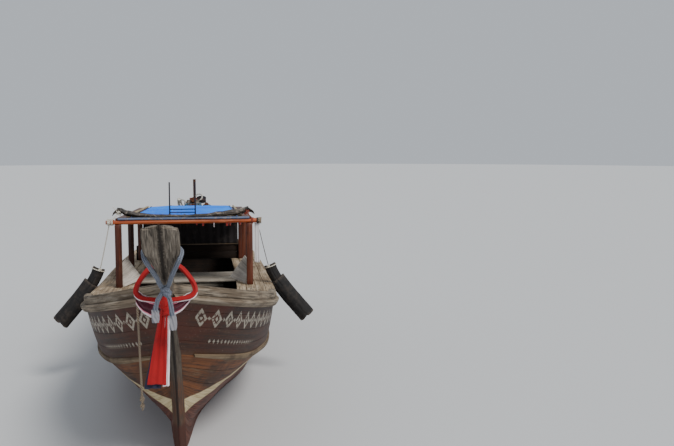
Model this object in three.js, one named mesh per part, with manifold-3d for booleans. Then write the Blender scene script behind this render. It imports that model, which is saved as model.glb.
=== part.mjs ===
// Wooden long-tail passenger boat with a canopy, in millimetres.
// Origin amidships at the waterline, +Z up, bow towards -Y, port side towards +X.
import * as THREE from 'three';
import { mergeVertices } from 'three/addons/utils/BufferGeometryUtils.js';
import Module from 'manifold-3d';

const wasm = await Module();
wasm.setup();

// Driving dimensions
const GAP = 0.3; // between pieces that touch
const PLANK = 28; // hull planking thickness
const TRANSOM_Y = 4380;
const TRANSOM_THICKNESS = 40;
const STATION_COUNT = 24; // sections along every plank
const KEEL = { half: 45, below: 60, above: 70, startY: -3950 };
const DECK = { thickness: 24, width: 430, overhang: 30, foreY: -3050 };
const RAIL = { proud: 58, height: 78, endY: -2950 }; // rub rail round the bow
const CAP = { width: 62, height: 80, endY: -3120 }; // bow cap rail on the sheer
const STRAKE = { proud: 26, half: 42, tipHalf: 14, taper: 4 }; // lower rubbing strake
const SOLE = { top: 170, thickness: 24, foreY: -2180, aftY: 3750 };
const RIB = { depth: 46, halfWidth: 22, clearance: 4, bowClearance: 26, bowY: -500 };
const RIB_YS = [-2050, -1450, -850, 200, 1200, 2250, 3300, 4150];
const POST = { x: 800, width: 78, depth: 66 };
const POST_YS = [-1900, -250, 1350];
const ROOF = { frontY: -1900, rearY: 1620, z: 2018, slopeDeg: -2.5, panel: 16, eave: 40, halfWidth: 832 };
const ROOF_RAIL = { width: 52, height: 57 };
const ROOF_BEAM = { half: 25, low: 4, high: 46 };
const FRONT_POLE = { half: 945, radius: 29 };
const BLUE_TARP = { half: 655, y0: 118, y1: 3440, edge: 14, crown: 26 };
const ROOF_POLE = { x: 692, y0: 150, y1: 3580, radius: 19 };
const CURTAIN = { x0: 862, x1: 926, half: 6, length: 500 };
const REAR_CURTAIN = { half: 752, y: 1350, halfDepth: 8, low: 1362 };
const COMBING = { y: 1386, thickness: 28, top: 1345, inset: 200 };
const CROSS_BOARDS = { spans: [[-1520, -1190], [-1130, -720]], half: 760, thickness: 26 };
// Leaning side boards, end by end, columns: y, x at the foot, x at the top, height
const SIDE_BOARD = [[-1845, 735, 800, 240], [-1300, 560, 757, 285]];
const SIDE_BOARD_THICKNESS = 24;
const BENCH = { height: 360, board: 30, leg: 34, depth: 300 };
const BENCH_YS = [-150, 850];
const PLATFORM = { y0: 2760, y1: 3560, half: 560, top: 520, board: 30, wall: 36 };
const PIVOT = new THREE.Vector3(0, 4200, 1330); // tilt and swivel axes of the engine
const TAIL_ANGLE = THREE.MathUtils.degToRad(25); // shaft below the horizontal
const TAIL = { length: 3800, radius: 34, start: -94 };
const PROPELLER = { radius: 150, hub: 34, hubLength: 90, blades: 3 };
// Bunched tarpaulin along the roof's front edge, columns: x, y, height of the middle above the
// roof, half-depth, half-height
const BLACK_TARP = [[-812, 70, 108, 26, 22], [-770, 66, 96, 40, 34], [-690, 60, 62, 50, 40],
  [-560, 56, 34, 55, 34], [-300, 54, 20, 56, 24], [0, 52, 16, 54, 20], [250, 54, 22, 56, 26],
  [450, 58, 38, 58, 36], [620, 60, 52, 58, 42], [720, 64, 80, 48, 40], [790, 68, 108, 30, 26]];
const RACK = { xs: [-190, 130], y: 300, height: 430, radius: 9, barRadius: 7, bars: [52, 92] };
const ROPE_RADIUS = 9;
// Bow rope from the starboard rub rail down to its end knot, columns: x, y, z
const BOW_ROPE = [[-205, -5680, 1785], [-232, -5706, 1778], [-252, -5724, 1758], [-258, -5730, 1720],
  [-256, -5731, 1650], [-252, -5732, 1500], [-248, -5731, 1350], [-244, -5730, 1200], [-240, -5730, 1080],
  [-238, -5729, 985], [-237, -5729, 930]];
// Sash: port strap from behind the head down to the knot, tails below it; rows of x, y, z
const SASH = { radius: 15, tailRadius: 22, knot: [0, -6246, 1962, 34],
  strap: [[-4, -6262, 2385], [70, -6300, 2360], [134, -6430, 2290], [122, -6500, 2225], [90, -6440, 2155],
    [55, -6338, 2072], [24, -6262, 1990], [0, -6236, 1962]],
  tails: [[[-12, -6250, 1955], [-55, -6252, 1890], [-80, -6250, 1800], [-78, -6250, 1720]],
    [[10, -6250, 1955], [30, -6252, 1880], [42, -6250, 1780], [44, -6250, 1660]]] };
// Garland round the neck: port half of the loop as rows of x, y, z; the knot in front and the
// hanging tail, columns: z and x of both edges
const GARLAND = { radius: 20, knot: [-22, -6060, 1818, 46], tailY: -6080, tailHalf: 18,
  loop: [[-4, -5968, 2170], [80, -5985, 2150], [150, -6010, 2085], [205, -6020, 1990], [232, -6025, 1925],
    [205, -6035, 1880], [120, -6035, 1856], [0, -6024, 1838]],
  tail: [[1830, -58, 8], [1600, -122, -12], [1200, -178, -14]] };
const YOKE = { inner: 265, arm: 26, depth: 90, base: 24, lift: 10, foot: 34, above: 48 };

// Fender: x, y, z along the middle of its two strips, and their radii
const FENDER = { facets: 7, upperOuter: 74, upperInner: 52, lowerOuter: 106, lowerInner: 74,
  upper: [[1062, -1700, 1462], [1092, -1705, 1380], [1140, -1712, 1290], [1215, -1722, 1170]],
  lower: [[1150, -1718, 1275], [1250, -1730, 1140], [1385, -1752, 975], [1535, -1775, 800]] };

// Engine bed: y from and to, rise above the deck, and how far its ends stay inside the sheer
const BED = { fore: 4110, aft: 4290, rise: 96, inset: 12 };
const TURNTABLE_RADIUS = 120;
// Boxes of the engine, in the tail's frame
// columns: x from and to, y from and to, z from and to
const FRAME_BOXES = [[-222, -178, -960, 260, -100, -40], [178, 222, -960, 260, -100, -40],
  [-200, 200, -960, -910, -96, -44], [-200, 200, -60, 60, -96, -44], [-200, 200, 210, 260, -96, -44],
  [-222, -178, -45, 45, -60, 30], [178, 222, -45, 45, -60, 30]];
const SEAT = -40 + GAP; // top of the frame, under the engine
const BLOCK_BOXES = [[-150, 150, -820, -180, SEAT, 200], [-228, -120, -760, -700, SEAT, 10],
  [120, 228, -760, -700, SEAT, 10], [-228, 228, -300, -240, SEAT, 10], [120, 200, -680, -600, 130, 190]];
const HEAD_BOXES = [[-110, 110, -800, -220, 200 + GAP, 290], [-70, 70, -770, -250, 280, 340],
  [60, 150, -590, -530, 250, 340]];
// Round parts that turn about an axis along the boat
// columns: radius, length, x, y, z, sides
const BLOCK_ROUNDS = [[165, 110, 0, -150, 110, 20], [88, 34, 0, -846, 90, 18], [40, 60, 0, -830, 90, 12],
  [78, 150, 245, -640, 165, 16]];
const AIR_FILTER = { radius: 88, height: 96, place: [150, -560, 372] };
const PIN_RADIUS = 20;
const TILLER = { radius: 19,
  rows: [[0, -960 - GAP, -70], [0, -1010, -70], [0, -1120, -120], [0, -1480, -250]] };
const HEADER = { radius: 27,
  rows: [[-100, -330, 245], [-170, -330, 245], [-262, -370, 300], [-285, -520, 350], [-268, -700, 330]] };
const EXHAUST = { radius: 26,
  rows: [[20, -400, 340 + GAP], [20, -400, 400], [20, -450, 510], [20, -572, 770]] };
const AXLE_Z = 110; // height of the propeller shaft over the tilt axis
const COLLAR = { from: 212, to: 262, radius: 60 };
// Skeg outline, back from the end of the tube and up from the shaft
const SKEG = [[-520, -20], [-50, -20], [-50, -190], [-140, -200], [-290, -110]];
const SKEG_THICKNESS = 10;
// Propeller blade: distance out, half-width, pitch in degrees
const BLADE = [[20, 26, 40], [80, 42, 30], [125, 36, 22], [PROPELLER.radius, 12, 18]];
const BLADE_HALF_THICKNESS = 3;

// Colours, roughness and metalness of each finish
const FINISHES = {
  weathered: [0x968c80, 0.9, 0],
  darkWood: [0x4a3128, 0.55, 0],
  lowerWood: [0x8c5532, 0.65, 0],
  bottomPaint: [0x6e463c, 0.7, 0],
  strakeWood: [0x7d7468, 0.85, 0],
  deckWood: [0xbeaa96, 0.8, 0],
  innerWood: [0x77706a, 0.85, 0],
  boardWood: [0xa09b96, 0.8, 0],
  varnish: [0xaf5a37, 0.4, 0],
  bamboo: [0xc9b48c, 0.6, 0],
  postWood: [0x5f3226, 0.5, 0],
  blueTarp: [0x3ca5eb, 0.55, 0],
  blackTarp: [0x322d2d, 0.6, 0],
  curtain: [0xd8d8d4, 0.9, 0],
  blackSteel: [0x202020, 0.5, 0.6],
  rubber: [0x2d2628, 0.85, 0],
  sash: [0x73788c, 0.9, 0],
  flagCloth: [0xd22838, 0.85, 0],
  rope: [0x8c7864, 0.95, 0],
  engineBlue: [0x2f5d7c, 0.5, 0.3],
  engineGrey: [0x8a8c8e, 0.45, 0.7],
  rustSteel: [0x6b4a38, 0.8, 0.4],
  galvanised: [0x8d9296, 0.5, 0.8],
  bronze: [0x9a7a42, 0.35, 0.9],
};

const boat = new THREE.Group();
const roof = new THREE.Group();
const engine = new THREE.Group();
boat.add(roof, engine);

function add(name, geometry, finish, parent = boat) {
  const [color, roughness, metalness] = FINISHES[finish];
  const mesh = new THREE.Mesh(geometry, new THREE.MeshStandardMaterial({ color, roughness, metalness }));
  mesh.name = name;
  parent.add(mesh);
  return mesh;
}

const point = (x, y, z) => new THREE.Vector3(x, y, z);
const mix = (a, b, t) => a.clone().lerp(b, t);

// Faces of a closed ring of points, wound like the ring
function capFaces(ring) {
  const normal = point(0, 0, 0);
  ring.forEach((p, i) => normal.add(p.clone().cross(ring[(i + 1) % ring.length])));
  normal.normalize();
  const side = Math.abs(normal.z) < 0.9 ? point(0, 0, 1) : point(1, 0, 0);
  const u = side.clone().cross(normal).normalize();
  const v = normal.clone().cross(u);
  const flat = ring.map((p) => new THREE.Vector2(p.dot(u), p.dot(v)));
  const area = THREE.ShapeUtils.area(flat);
  return THREE.ShapeUtils.triangulateShape(flat, []).map(([a, b, c]) => {
    const turn = THREE.ShapeUtils.area([flat[a], flat[b], flat[c]]);
    return turn * area > 0 ? [a, b, c] : [a, c, b];
  });
}

function flipFaces(geometry) {
  const index = geometry.index.array;
  for (let i = 0; i < index.length; i += 3) {
    [index[i + 1], index[i + 2]] = [index[i + 2], index[i + 1]];
  }
  return geometry;
}

function volume(geometry) {
  const p = geometry.attributes.position;
  const [a, b, c] = [point(0, 0, 0), point(0, 0, 0), point(0, 0, 0)];
  let sum = 0;
  for (let i = 0; i < geometry.index.count; i += 3) {
    a.fromBufferAttribute(p, geometry.index.getX(i));
    b.fromBufferAttribute(p, geometry.index.getX(i + 1));
    c.fromBufferAttribute(p, geometry.index.getX(i + 2));
    sum += a.dot(b.cross(c)) / 6;
  }
  return sum;
}

// A closed body through rings that all have the same number of points. The quads of the columns
// named in turned are split along their other diagonal, so that they match a neighbour's.
function loft(rings, turned = []) {
  const count = rings[0].length;
  const index = [];
  for (let i = 0; i < rings.length - 1; i++) {
    for (let j = 0; j < count; j++) {
      const a = i * count + j;
      const b = i * count + (j + 1) % count;
      if (turned.includes(j)) index.push(a, b, a + count, b, b + count, a + count);
      else index.push(a, b, b + count, a, b + count, a + count);
    }
  }
  const last = (rings.length - 1) * count;
  for (const [a, b, c] of capFaces(rings[0])) index.push(a, c, b);
  for (const [a, b, c] of capFaces(rings[rings.length - 1])) index.push(last + a, last + b, last + c);
  const geometry = new THREE.BufferGeometry();
  const numbers = rings.flat().flatMap((p) => [p.x, p.y, p.z]);
  geometry.setAttribute('position', new THREE.Float32BufferAttribute(numbers, 3));
  geometry.setIndex(index);
  return volume(geometry) < 0 ? flipFaces(geometry) : geometry;
}

// The same geometry with only shared positions
function bare(geometry) {
  const copy = geometry.clone();
  copy.deleteAttribute('normal');
  copy.deleteAttribute('uv');
  return mergeVertices(copy, 1e-3);
}

function mirrored(geometry) {
  return flipFaces(bare(geometry).scale(-1, 1, 1));
}

function toSolid(geometry) {
  const merged = bare(geometry);
  return new wasm.Manifold(new wasm.Mesh({
    numProp: 3,
    vertProperties: new Float32Array(merged.attributes.position.array),
    triVerts: new Uint32Array(merged.index.array),
  }));
}

function toGeometry(solid) {
  const mesh = solid.getMesh();
  const geometry = new THREE.BufferGeometry();
  geometry.setAttribute('position', new THREE.Float32BufferAttribute(mesh.vertProperties, 3));
  geometry.setIndex(Array.from(mesh.triVerts));
  return geometry;
}

const joined = (...parts) => toGeometry(parts.map(toSolid).reduce((a, b) => a.add(b)));
const cut = (part, ...tools) => toGeometry(tools.map(toSolid).reduce((a, b) => a.subtract(b), toSolid(part)));

// A box given by its lowest and highest corner
function block(x0, x1, y0, y1, z0, z1) {
  return new THREE.BoxGeometry(x1 - x0, y1 - y0, z1 - z0)
    .translate((x0 + x1) / 2, (y0 + y1) / 2, (z0 + z1) / 2);
}

// A straight round bar between two points
function bar(from, to, radius, sides = 10) {
  const axis = to.clone().sub(from);
  const turn = new THREE.Quaternion().setFromUnitVectors(point(0, 1, 0), axis.clone().normalize());
  return new THREE.CylinderGeometry(radius, radius, axis.length(), sides)
    .applyQuaternion(turn).translate(...mix(from, to, 0.5));
}

// A round section, or any outline of [across, along] points, swept along a curve
function sweep(curve, outline, steps) {
  const options = { steps, extrudePath: curve, bevelEnabled: false };
  return new THREE.ExtrudeGeometry(new THREE.Shape(outline), options);
}

function roundOutline(radius, sides) {
  return Array.from({ length: sides }, (_, i) => {
    const angle = (2 * Math.PI * i) / sides;
    return new THREE.Vector2(radius * Math.cos(angle), radius * Math.sin(angle));
  });
}

// Hull lines on the port side, outside the planking, from bow to stern
// columns: y, half-breadth, z
const HULL_LINES = {
  keel: [[-4330, 40, 90], [-4090, 55, -70], [-3750, 60, -195], [-3200, 60, -275], [-2400, 60, -305],
    [-1200, 60, -330], [400, 60, -345], [2100, 60, -335], [3400, 60, -305], [TRANSOM_Y, 60, -265]],
  bilge: [[-4640, 30, 520], [-4250, 85, 300], [-3750, 122, 170], [-3150, 195, 110], [-2500, 400, 75],
    [-1400, 735, 35], [300, 875, -30], [2100, 865, -50], [3400, 815, -35], [TRANSOM_Y, 745, 0]],
  strake: [[-5150, 30, 1200], [-4750, 350, 1066], [-4100, 638, 890], [-3300, 853, 772], [-2400, 978, 676],
    [-1150, 1024, 592], [400, 1032, 545], [2100, 1010, 522], [3400, 960, 506], [TRANSOM_Y, 890, 500]],
  sheer: [[-5930, 30, 1880], [-5250, 500, 1700], [-4400, 800, 1520], [-3500, 980, 1360], [-2500, 1045, 1255],
    [-1200, 1070, 1175], [400, 1080, 1120], [2100, 1060, 1060], [3400, 1010, 1010], [TRANSOM_Y, 950, 960]],
};
const LINE_NAMES = ['keel', 'bilge', 'strake', 'sheer'];

// Stem sections from the head down, square to the leading edge
// columns: y and z of the leading edge, half-width, setback of the widest place, depth, half-width
// of the back, drop of the sides below the middle
const STEM_SECTIONS = [
  [-6818, 2480, 122, 12, 24, 100, 50],
  [-6754, 2424, 130, 20, 84, 84, 30],
  [-6690, 2368, 131, 24, 135, 66, 18],
  [-6562, 2258, 128, 30, 160, 60, 6],
  [-6468, 2182, 102, 34, 175, 54, 0],
  [-6350, 2098, 66, 38, 190, 46, 0],
  [-6225, 2005, 36, 40, 205, 34, 0],
  [-6090, 1905, 38, 44, 220, 38, 0],
  [-5850, 1715, 48, 88, 222, 48, 0],
  [-5270, 1200, 58, 112, 205, 56, 0],
  [-4790, 575, 58, 110, 195, 56, 0],
  [-4400, 0, 56, 105, 190, 54, 0],
  [-4130, -230, 50, 90, 175, 50, 0],
  [-3880, -330, 45, 70, 150, 45, 0],
];

const sample = (i) => i / (STATION_COUNT - 1);
const curves = Object.fromEntries(LINE_NAMES.map((name) => [name,
  new THREE.CatmullRomCurve3(HULL_LINES[name].map(([y, b, z]) => point(b, y, z)), false, 'centripetal')]));
const outer = {};
for (const name of LINE_NAMES) {
  outer[name] = Array.from({ length: STATION_COUNT }, (_, i) => curves[name].getPoint(sample(i)));
}

// Inward normal of the planking between two lines at a station
function inward(low, high, i) {
  const [a, b] = [outer[low], outer[high]];
  const [before, after] = [Math.max(i - 1, 0), Math.min(i + 1, STATION_COUNT - 1)];
  const along = mix(a[after], b[after], 0.5).sub(mix(a[before], b[before], 0.5));
  return b[i].clone().sub(a[i]).cross(along).normalize();
}

const inner = Object.fromEntries(LINE_NAMES.map((name) => [name, []]));
for (let i = 0; i < STATION_COUNT; i++) {
  LINE_NAMES.forEach((name, k) => {
    const below = k > 0 ? inward(LINE_NAMES[k - 1], name, i) : null;
    const above = k < 3 ? inward(name, LINE_NAMES[k + 1], i) : null;
    const [m, n] = [below ?? above, above ?? below];
    const offset = m.clone().add(n).multiplyScalar(PLANK / (1 + m.dot(n)));
    const placed = outer[name][i].clone().add(offset);
    const level = point(-Math.min(-PLANK / m.x, 2 * PLANK), 0, 0).add(outer.sheer[i]);
    inner[name].push(name === 'sheer' ? level : placed);
  });
}

// Planks between two hull lines
function planking(low, high) {
  return loft(outer[low].map((_, i) => {
    const trim = (a, b) => a.clone().addScaledVector(b.clone().sub(a).normalize(), GAP / 2);
    return [trim(outer[low][i], outer[high][i]), trim(outer[high][i], outer[low][i]),
      trim(inner[high][i], inner[low][i]), trim(inner[low][i], inner[high][i])];
  }), [3]);
}

// A point on a sampled line at a given y
function at(line, y) {
  const k = Math.max(1, line.findIndex((p) => p.y >= y));
  const [a, b] = [line[k - 1], line[k]];
  return mix(a, b, (y - a.y) / (b.y - a.y));
}

// Stations of the sheer between two places along the boat, ends included
function sheerStations(fromY, toY) {
  const between = outer.sheer.filter((p) => p.y > fromY + 20 && p.y < toY - 20);
  return [at(outer.sheer, fromY), ...between, at(outer.sheer, toY)];
}

function stem(grow = 0) {
  const rings = STEM_SECTIONS.map(([y, z, half, setback, depth, backHalf, drop], i) => {
    const next = STEM_SECTIONS[Math.min(i + 1, STEM_SECTIONS.length - 1)];
    const prev = STEM_SECTIONS[Math.max(i - 1, 0)];
    const down = point(0, next[0] - prev[0], next[1] - prev[1]).normalize();
    const back = point(0, -down.z, down.y);
    const place = (x, inset, fall) => point(x, y, z).addScaledVector(back, inset).addScaledVector(down, fall);
    return [place(0, -grow, i ? 0 : -grow), place(half + grow, setback, drop),
      place(backHalf + grow, depth + grow, drop), place(-backHalf - grow, depth + grow, drop),
      place(-half - grow, setback, drop)];
  });
  return loft(rings);
}

function keel(grow = 0) {
  const ys = [KEEL.startY, ...outer.keel.map((p) => p.y).filter((y) => y > KEEL.startY + 40)];
  return loft(ys.map((y) => {
    const z = at(outer.keel, Math.min(y, TRANSOM_Y - 0.01)).z;
    const [low, high, half] = [z - KEEL.below - grow, z + KEEL.above + grow, KEEL.half + grow];
    return [point(-half, y, low), point(half, y, low), point(half, y, high), point(-half, y, high)];
  }));
}

// A port piece and its mirror image, each cut by its neighbours' room where it has any
function addPair(name, geometry, finish, ...tools) {
  const trimmed = (piece) => (tools.length ? cut(piece, ...tools) : piece);
  add(`${name}_port`, trimmed(geometry), finish);
  add(`${name}_starboard`, trimmed(mirrored(geometry)), finish);
}

function hull() {
  const scarf = block(-400, 400, KEEL.startY - GAP, KEEL.startY + 900, -900, 600);
  add('stem_post', cut(stem(), scarf), 'weathered');
  add('keel', keel(), 'darkWood');
  const [stemRoom, keelRoom] = [stem(GAP), keel(GAP)];
  const stemBelow = cut(stemRoom, block(-400, 400, KEEL.startY + 1, KEEL.startY + 900, -900, 600));
  addPair('bottom_planks', planking('keel', 'bilge'), 'bottomPaint', stemBelow, keelRoom);
  addPair('side_planks', planking('bilge', 'strake'), 'lowerWood', stemRoom);
  addPair('topside_planks', planking('strake', 'sheer'), 'darkWood', stemRoom);
  const half = LINE_NAMES.map((name) => outer[name][STATION_COUNT - 1]);
  const outline = [...half, ...half.slice().reverse().map((p) => point(-p.x, p.y, p.z))];
  add('transom', loft([TRANSOM_Y + GAP, TRANSOM_Y + TRANSOM_THICKNESS].map(
    (y) => outline.map((p) => point(p.x, y, p.z)))), 'darkWood');
}

// Rubbing strake over the seam between the side planks and the topside
function lowerStrakes() {
  const rings = [];
  for (let i = 1; i < STATION_COUNT; i++) {
    const seam = outer.strake[i];
    const up = outer.sheer[i].clone().sub(seam).normalize();
    const down = outer.bilge[i].clone().sub(seam).normalize();
    const [m, n] = [inward('strake', 'sheer', i), inward('bilge', 'strake', i)];
    const mitre = m.clone().add(n).multiplyScalar(1 / (1 + m.dot(n)));
    const place = (base, normal, out) => base.clone().addScaledVector(normal, -out);
    const half = STRAKE.tipHalf + (STRAKE.half - STRAKE.tipHalf) * Math.min(1, i / STRAKE.taper);
    const [top, low] = [up, down].map((way) => seam.clone().addScaledVector(way, half));
    const inside = [place(top, m, 5 * GAP), place(seam, mitre, GAP), place(low, n, 8 * GAP)];
    const outside = [[low, n, 0.6], [seam, mitre, 1], [top, m, 0.8]].map(
      ([base, normal, share]) => place(base, normal, STRAKE.proud * share));
    rings.push([...inside, ...outside]);
  }
  addPair('lower_strake', loft(rings), 'strakeWood', stem(GAP));
}

// Rub rail along the outside of the sheer. With grow, the room that it and its gap take up.
function rubRail(grow = 0) {
  const corners = outer.sheer.map((top, i) => {
    const down = outer.strake[i].clone().sub(top).normalize();
    const out = inward('strake', 'sheer', i).multiplyScalar(-1);
    const place = (drop, distance) => top.clone().addScaledVector(down, drop).addScaledVector(out, distance);
    return [place(-grow, GAP), place(RAIL.height + grow, 8 * GAP),
      place(RAIL.height + grow, RAIL.proud * 0.7 + grow), place(-grow, RAIL.proud + grow)];
  });
  const last = outer.sheer.findIndex((p) => p.y > RAIL.endY);
  const [a, b] = [outer.sheer[last - 1].y, outer.sheer[last].y];
  const end = corners[last - 1].map((corner, k) => mix(corner, corners[last][k], (RAIL.endY - a) / (b - a)));
  return loft([...corners.slice(0, last), end]);
}

// Room for the side deck and its gap
function deckRoom() {
  const side = sheerStations(DECK.foreY, TRANSOM_Y - 1);
  return onSheer(side, -DECK.overhang - GAP, DECK.width, 0, DECK.thickness + GAP);
}

// A flat-bottomed strip that lies on the sheer: from and to are distances inboard of it
function onSheer(stations, from, to, low, high) {
  return loft(stations.map((p) => [point(p.x - to, p.y, p.z + low), point(p.x - from, p.y, p.z + low),
    point(p.x - from, p.y, p.z + high), point(p.x - to, p.y, p.z + high)]));
}

function decks() {
  addPair('rub_rail', rubRail(), 'weathered', stem(GAP));
  const bow = sheerStations(outer.sheer[0].y, CAP.endY);
  addPair('cap_rail', onSheer(bow, -14, CAP.width, GAP, CAP.height), 'weathered', stem(GAP));
  const side = sheerStations(DECK.foreY, TRANSOM_Y - 1);
  addPair('side_deck', onSheer(side, -DECK.overhang, DECK.width, GAP, DECK.thickness), 'deckWood');
  const fore = sheerStations(-5640, -5020).map((p) => {
    const half = p.x - CAP.width - GAP;
    const [low, high] = [p.z + GAP, p.z + DECK.thickness];
    return [point(-half, p.y, low), point(half, p.y, low), point(half, p.y, high), point(-half, p.y, high)];
  });
  add('fore_deck', cut(loft(fore), stem(GAP)), 'innerWood');
}

// Inside of the planking at a place along the boat, some way up from one hull line to the next
function insideAt(low, high, share, y) {
  return at(inner[low].map((p, i) => mix(p, inner[high][i], share)), y);
}

// Floor timber outline at a place along the boat, from the planking up to a flat for the sole
function floorRing(y) {
  const floor = SOLE.top - SOLE.thickness - GAP;
  const keelTop = at(outer.keel, y).z + KEEL.above + 2 * GAP;
  const lift = y < RIB.bowY ? RIB.bowClearance : RIB.clearance;
  const footX = KEEL.half + 8;
  const bottom = [1, 0.75, 0.5, 0.25, 0.06].map((share) => insideAt('keel', 'bilge', share, y));
  const right = [[roomAt(y, floor) - RIB.clearance - 4, floor],
    ...bottom.map((p) => [Math.max(p.x - RIB.clearance, footX), p.z + lift]), [footX, keelTop]];
  return [...right, ...right.slice().reverse().map(([x, z]) => [-x, z])].map(([x, z]) => point(x, y, z));
}

// Side rib outline, standing on the end of the floor timber
function ribRing(y) {
  const foot = SOLE.top - SOLE.thickness;
  const top = at(outer.sheer, y + RIB.halfWidth).z - RIB.clearance;
  const levels = [foot, ...[0.66, 1].map((share) => insideAt('bilge', 'strake', share, y).z),
    ...[0.33, 0.66].map((share) => insideAt('strake', 'sheer', share, y).z), top];
  const wall = levels.map((z) => [roomAt(y, z) - RIB.clearance, z]);
  const back = wall.slice().reverse().map(([x, z]) => [x - RIB.depth, z]);
  return [...wall, ...back].map(([x, z]) => point(x, y, z));
}

function frames() {
  const pairOf = (ring) => (y) => loft([ring(y - RIB.halfWidth), ring(y + RIB.halfWidth)]);
  const ys = [RIB_YS[0] - 100, -1200, 400, 2100, RIB_YS.at(-1) + 60];
  const keelson = loft(ys.map((y) => {
    const low = at(outer.keel, y).z + KEEL.above + 2 * GAP;
    return [point(-38, y, low), point(38, y, low), point(38, y, low + 90), point(-38, y, low + 90)];
  }));
  add('floor_timbers', joined(keelson, ...RIB_YS.map(pairOf(floorRing))), 'innerWood');
  const between = sheerStations(RIB_YS[0], RIB_YS.at(-1)).map((p) => p.y).slice(1, -1);
  const stringer = loft([RIB_YS[0] - 60, ...between, RIB_YS.at(-1) + 60].map((y) => {
    const z = at(outer.sheer, y).z - 300;
    const x = roomAt(y, z) - RIB.clearance - 8;
    const back = x - RIB.depth;
    return [point(x, y, z - 40), point(x, y, z + 40), point(back, y, z + 40), point(back, y, z - 40)];
  }));
  addPair('side_ribs', joined(stringer, ...RIB_YS.map(pairOf(ribRing))), 'innerWood');
}

// Half-breadth inside the planking at a place along the boat and a height
function roomAt(y, z) {
  const wall = [];
  for (let k = 0; k < 3; k++) {
    for (const share of [0, 0.33, 0.66]) wall.push(insideAt(LINE_NAMES[k], LINE_NAMES[k + 1], share, y));
  }
  wall.push(at(inner.sheer, y));
  const high = Math.min(Math.max(1, wall.findIndex((p) => p.z >= z)), wall.length - 1);
  const [a, b] = [wall[high - 1], wall[high]];
  return a.x + (b.x - a.x) * ((z - a.z) / (b.z - a.z));
}

function interior() {
  const soleRings = [SOLE.foreY, -1800, -1300, -700, 600, 2100, 3000, SOLE.aftY].map((y) => {
    const half = roomAt(y, SOLE.top - SOLE.thickness) - RIB.depth - 26;
    const [low, high] = [SOLE.top - SOLE.thickness, SOLE.top];
    return [point(-half, y, low), point(half, y, low), point(half, y, high), point(-half, y, high)];
  });
  add('sole', loft(soleRings), 'innerWood');
  BENCH_YS.forEach((y, i) => {
    const half = Math.min(roomAt(y - BENCH.depth / 2, SOLE.top), roomAt(y + BENCH.depth / 2, SOLE.top)) - 110;
    const [foot, top] = [SOLE.top + GAP, SOLE.top + BENCH.height];
    const [fore, aft] = [y - BENCH.depth / 2, y + BENCH.depth / 2];
    const seat = block(-half - 40, half + 40, fore, aft, top - BENCH.board, top);
    const legs = [-half, half - BENCH.leg].map(
      (x) => block(x, x + BENCH.leg, fore + 40, aft - 40, foot, top - BENCH.board / 2));
    add(`bench_${i + 1}`, joined(seat, ...legs), 'boardWood');
  });
  const deckTop = (y) => at(outer.sheer, y).z + DECK.thickness + GAP;
  CROSS_BOARDS.spans.forEach(([y0, y1], i) => {
    const low = deckTop(y0);
    const board = block(-CROSS_BOARDS.half, CROSS_BOARDS.half, y0, y1, low, low + CROSS_BOARDS.thickness);
    add(`cross_board_${i + 1}`, board, 'boardWood');
  });
  const rearHalf = at(outer.sheer, COMBING.y).x - COMBING.inset;
  add('aft_coaming', block(-rearHalf, rearHalf, COMBING.y, COMBING.y + COMBING.thickness, deckTop(COMBING.y),
    COMBING.top), 'boardWood');
  const { y0, y1, half, top, board, wall } = PLATFORM;
  const slab = block(-half, half, y0, y1, top - board, top);
  const walls = [y0 + wall, y1 - 2 * wall].map(
    (y) => block(-half + board, half - board, y, y + wall, SOLE.top + GAP, top - board / 2));
  add('aft_platform', joined(slab, ...walls), 'boardWood');
  const foot = deckTop(CROSS_BOARDS.spans[0][0]) + CROSS_BOARDS.thickness + GAP;
  const leaning = SIDE_BOARD.map(([y, footX, topX, height]) => [point(footX, y, foot),
    point(footX + SIDE_BOARD_THICKNESS, y, foot), point(topX, y, foot + height),
    point(topX - SIDE_BOARD_THICKNESS, y, foot + height)]);
  addPair('side_board', loft(leaning), 'boardWood');
}

// Height of the posts' tops at a place along the boat, under the sloping roof
function postTop(y) {
  const slope = Math.tan(THREE.MathUtils.degToRad(-ROOF.slopeDeg));
  return ROOF.z - (y + POST.depth / 2 - ROOF.frontY) * slope - GAP;
}

function posts() {
  POST_YS.forEach((y, i) => {
    const foot = Math.max(at(outer.sheer, y - POST.depth / 2).z, at(outer.sheer, y + POST.depth / 2).z);
    addPair(`post_${i + 1}`, block(POST.x - POST.width / 2, POST.x + POST.width / 2, y - POST.depth / 2,
      y + POST.depth / 2, foot + DECK.thickness + GAP, postTop(y)), 'postWood');
  });
  const poleLow = postTop(ROOF.frontY) + GAP;
  const poleZ = poleLow + FRONT_POLE.radius;
  const poleEnds = [-1, 1].map((side) => point(side * FRONT_POLE.half, ROOF.frontY, poleZ));
  add('front_beam', bar(...poleEnds, FRONT_POLE.radius, 16), 'varnish');
  add('side_curtain', block(CURTAIN.x0, CURTAIN.x1, ROOF.frontY - CURTAIN.half, ROOF.frontY + CURTAIN.half,
    poleLow - CURTAIN.length, poleLow - GAP), 'curtain');
  const reach = REAR_CURTAIN.y + REAR_CURTAIN.halfDepth - POST.depth / 2;
  add('rear_curtain', block(-REAR_CURTAIN.half, REAR_CURTAIN.half, REAR_CURTAIN.y - REAR_CURTAIN.halfDepth,
    REAR_CURTAIN.y + REAR_CURTAIN.halfDepth, REAR_CURTAIN.low, postTop(reach) + ROOF_BEAM.low), 'darkWood');
}

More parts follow.
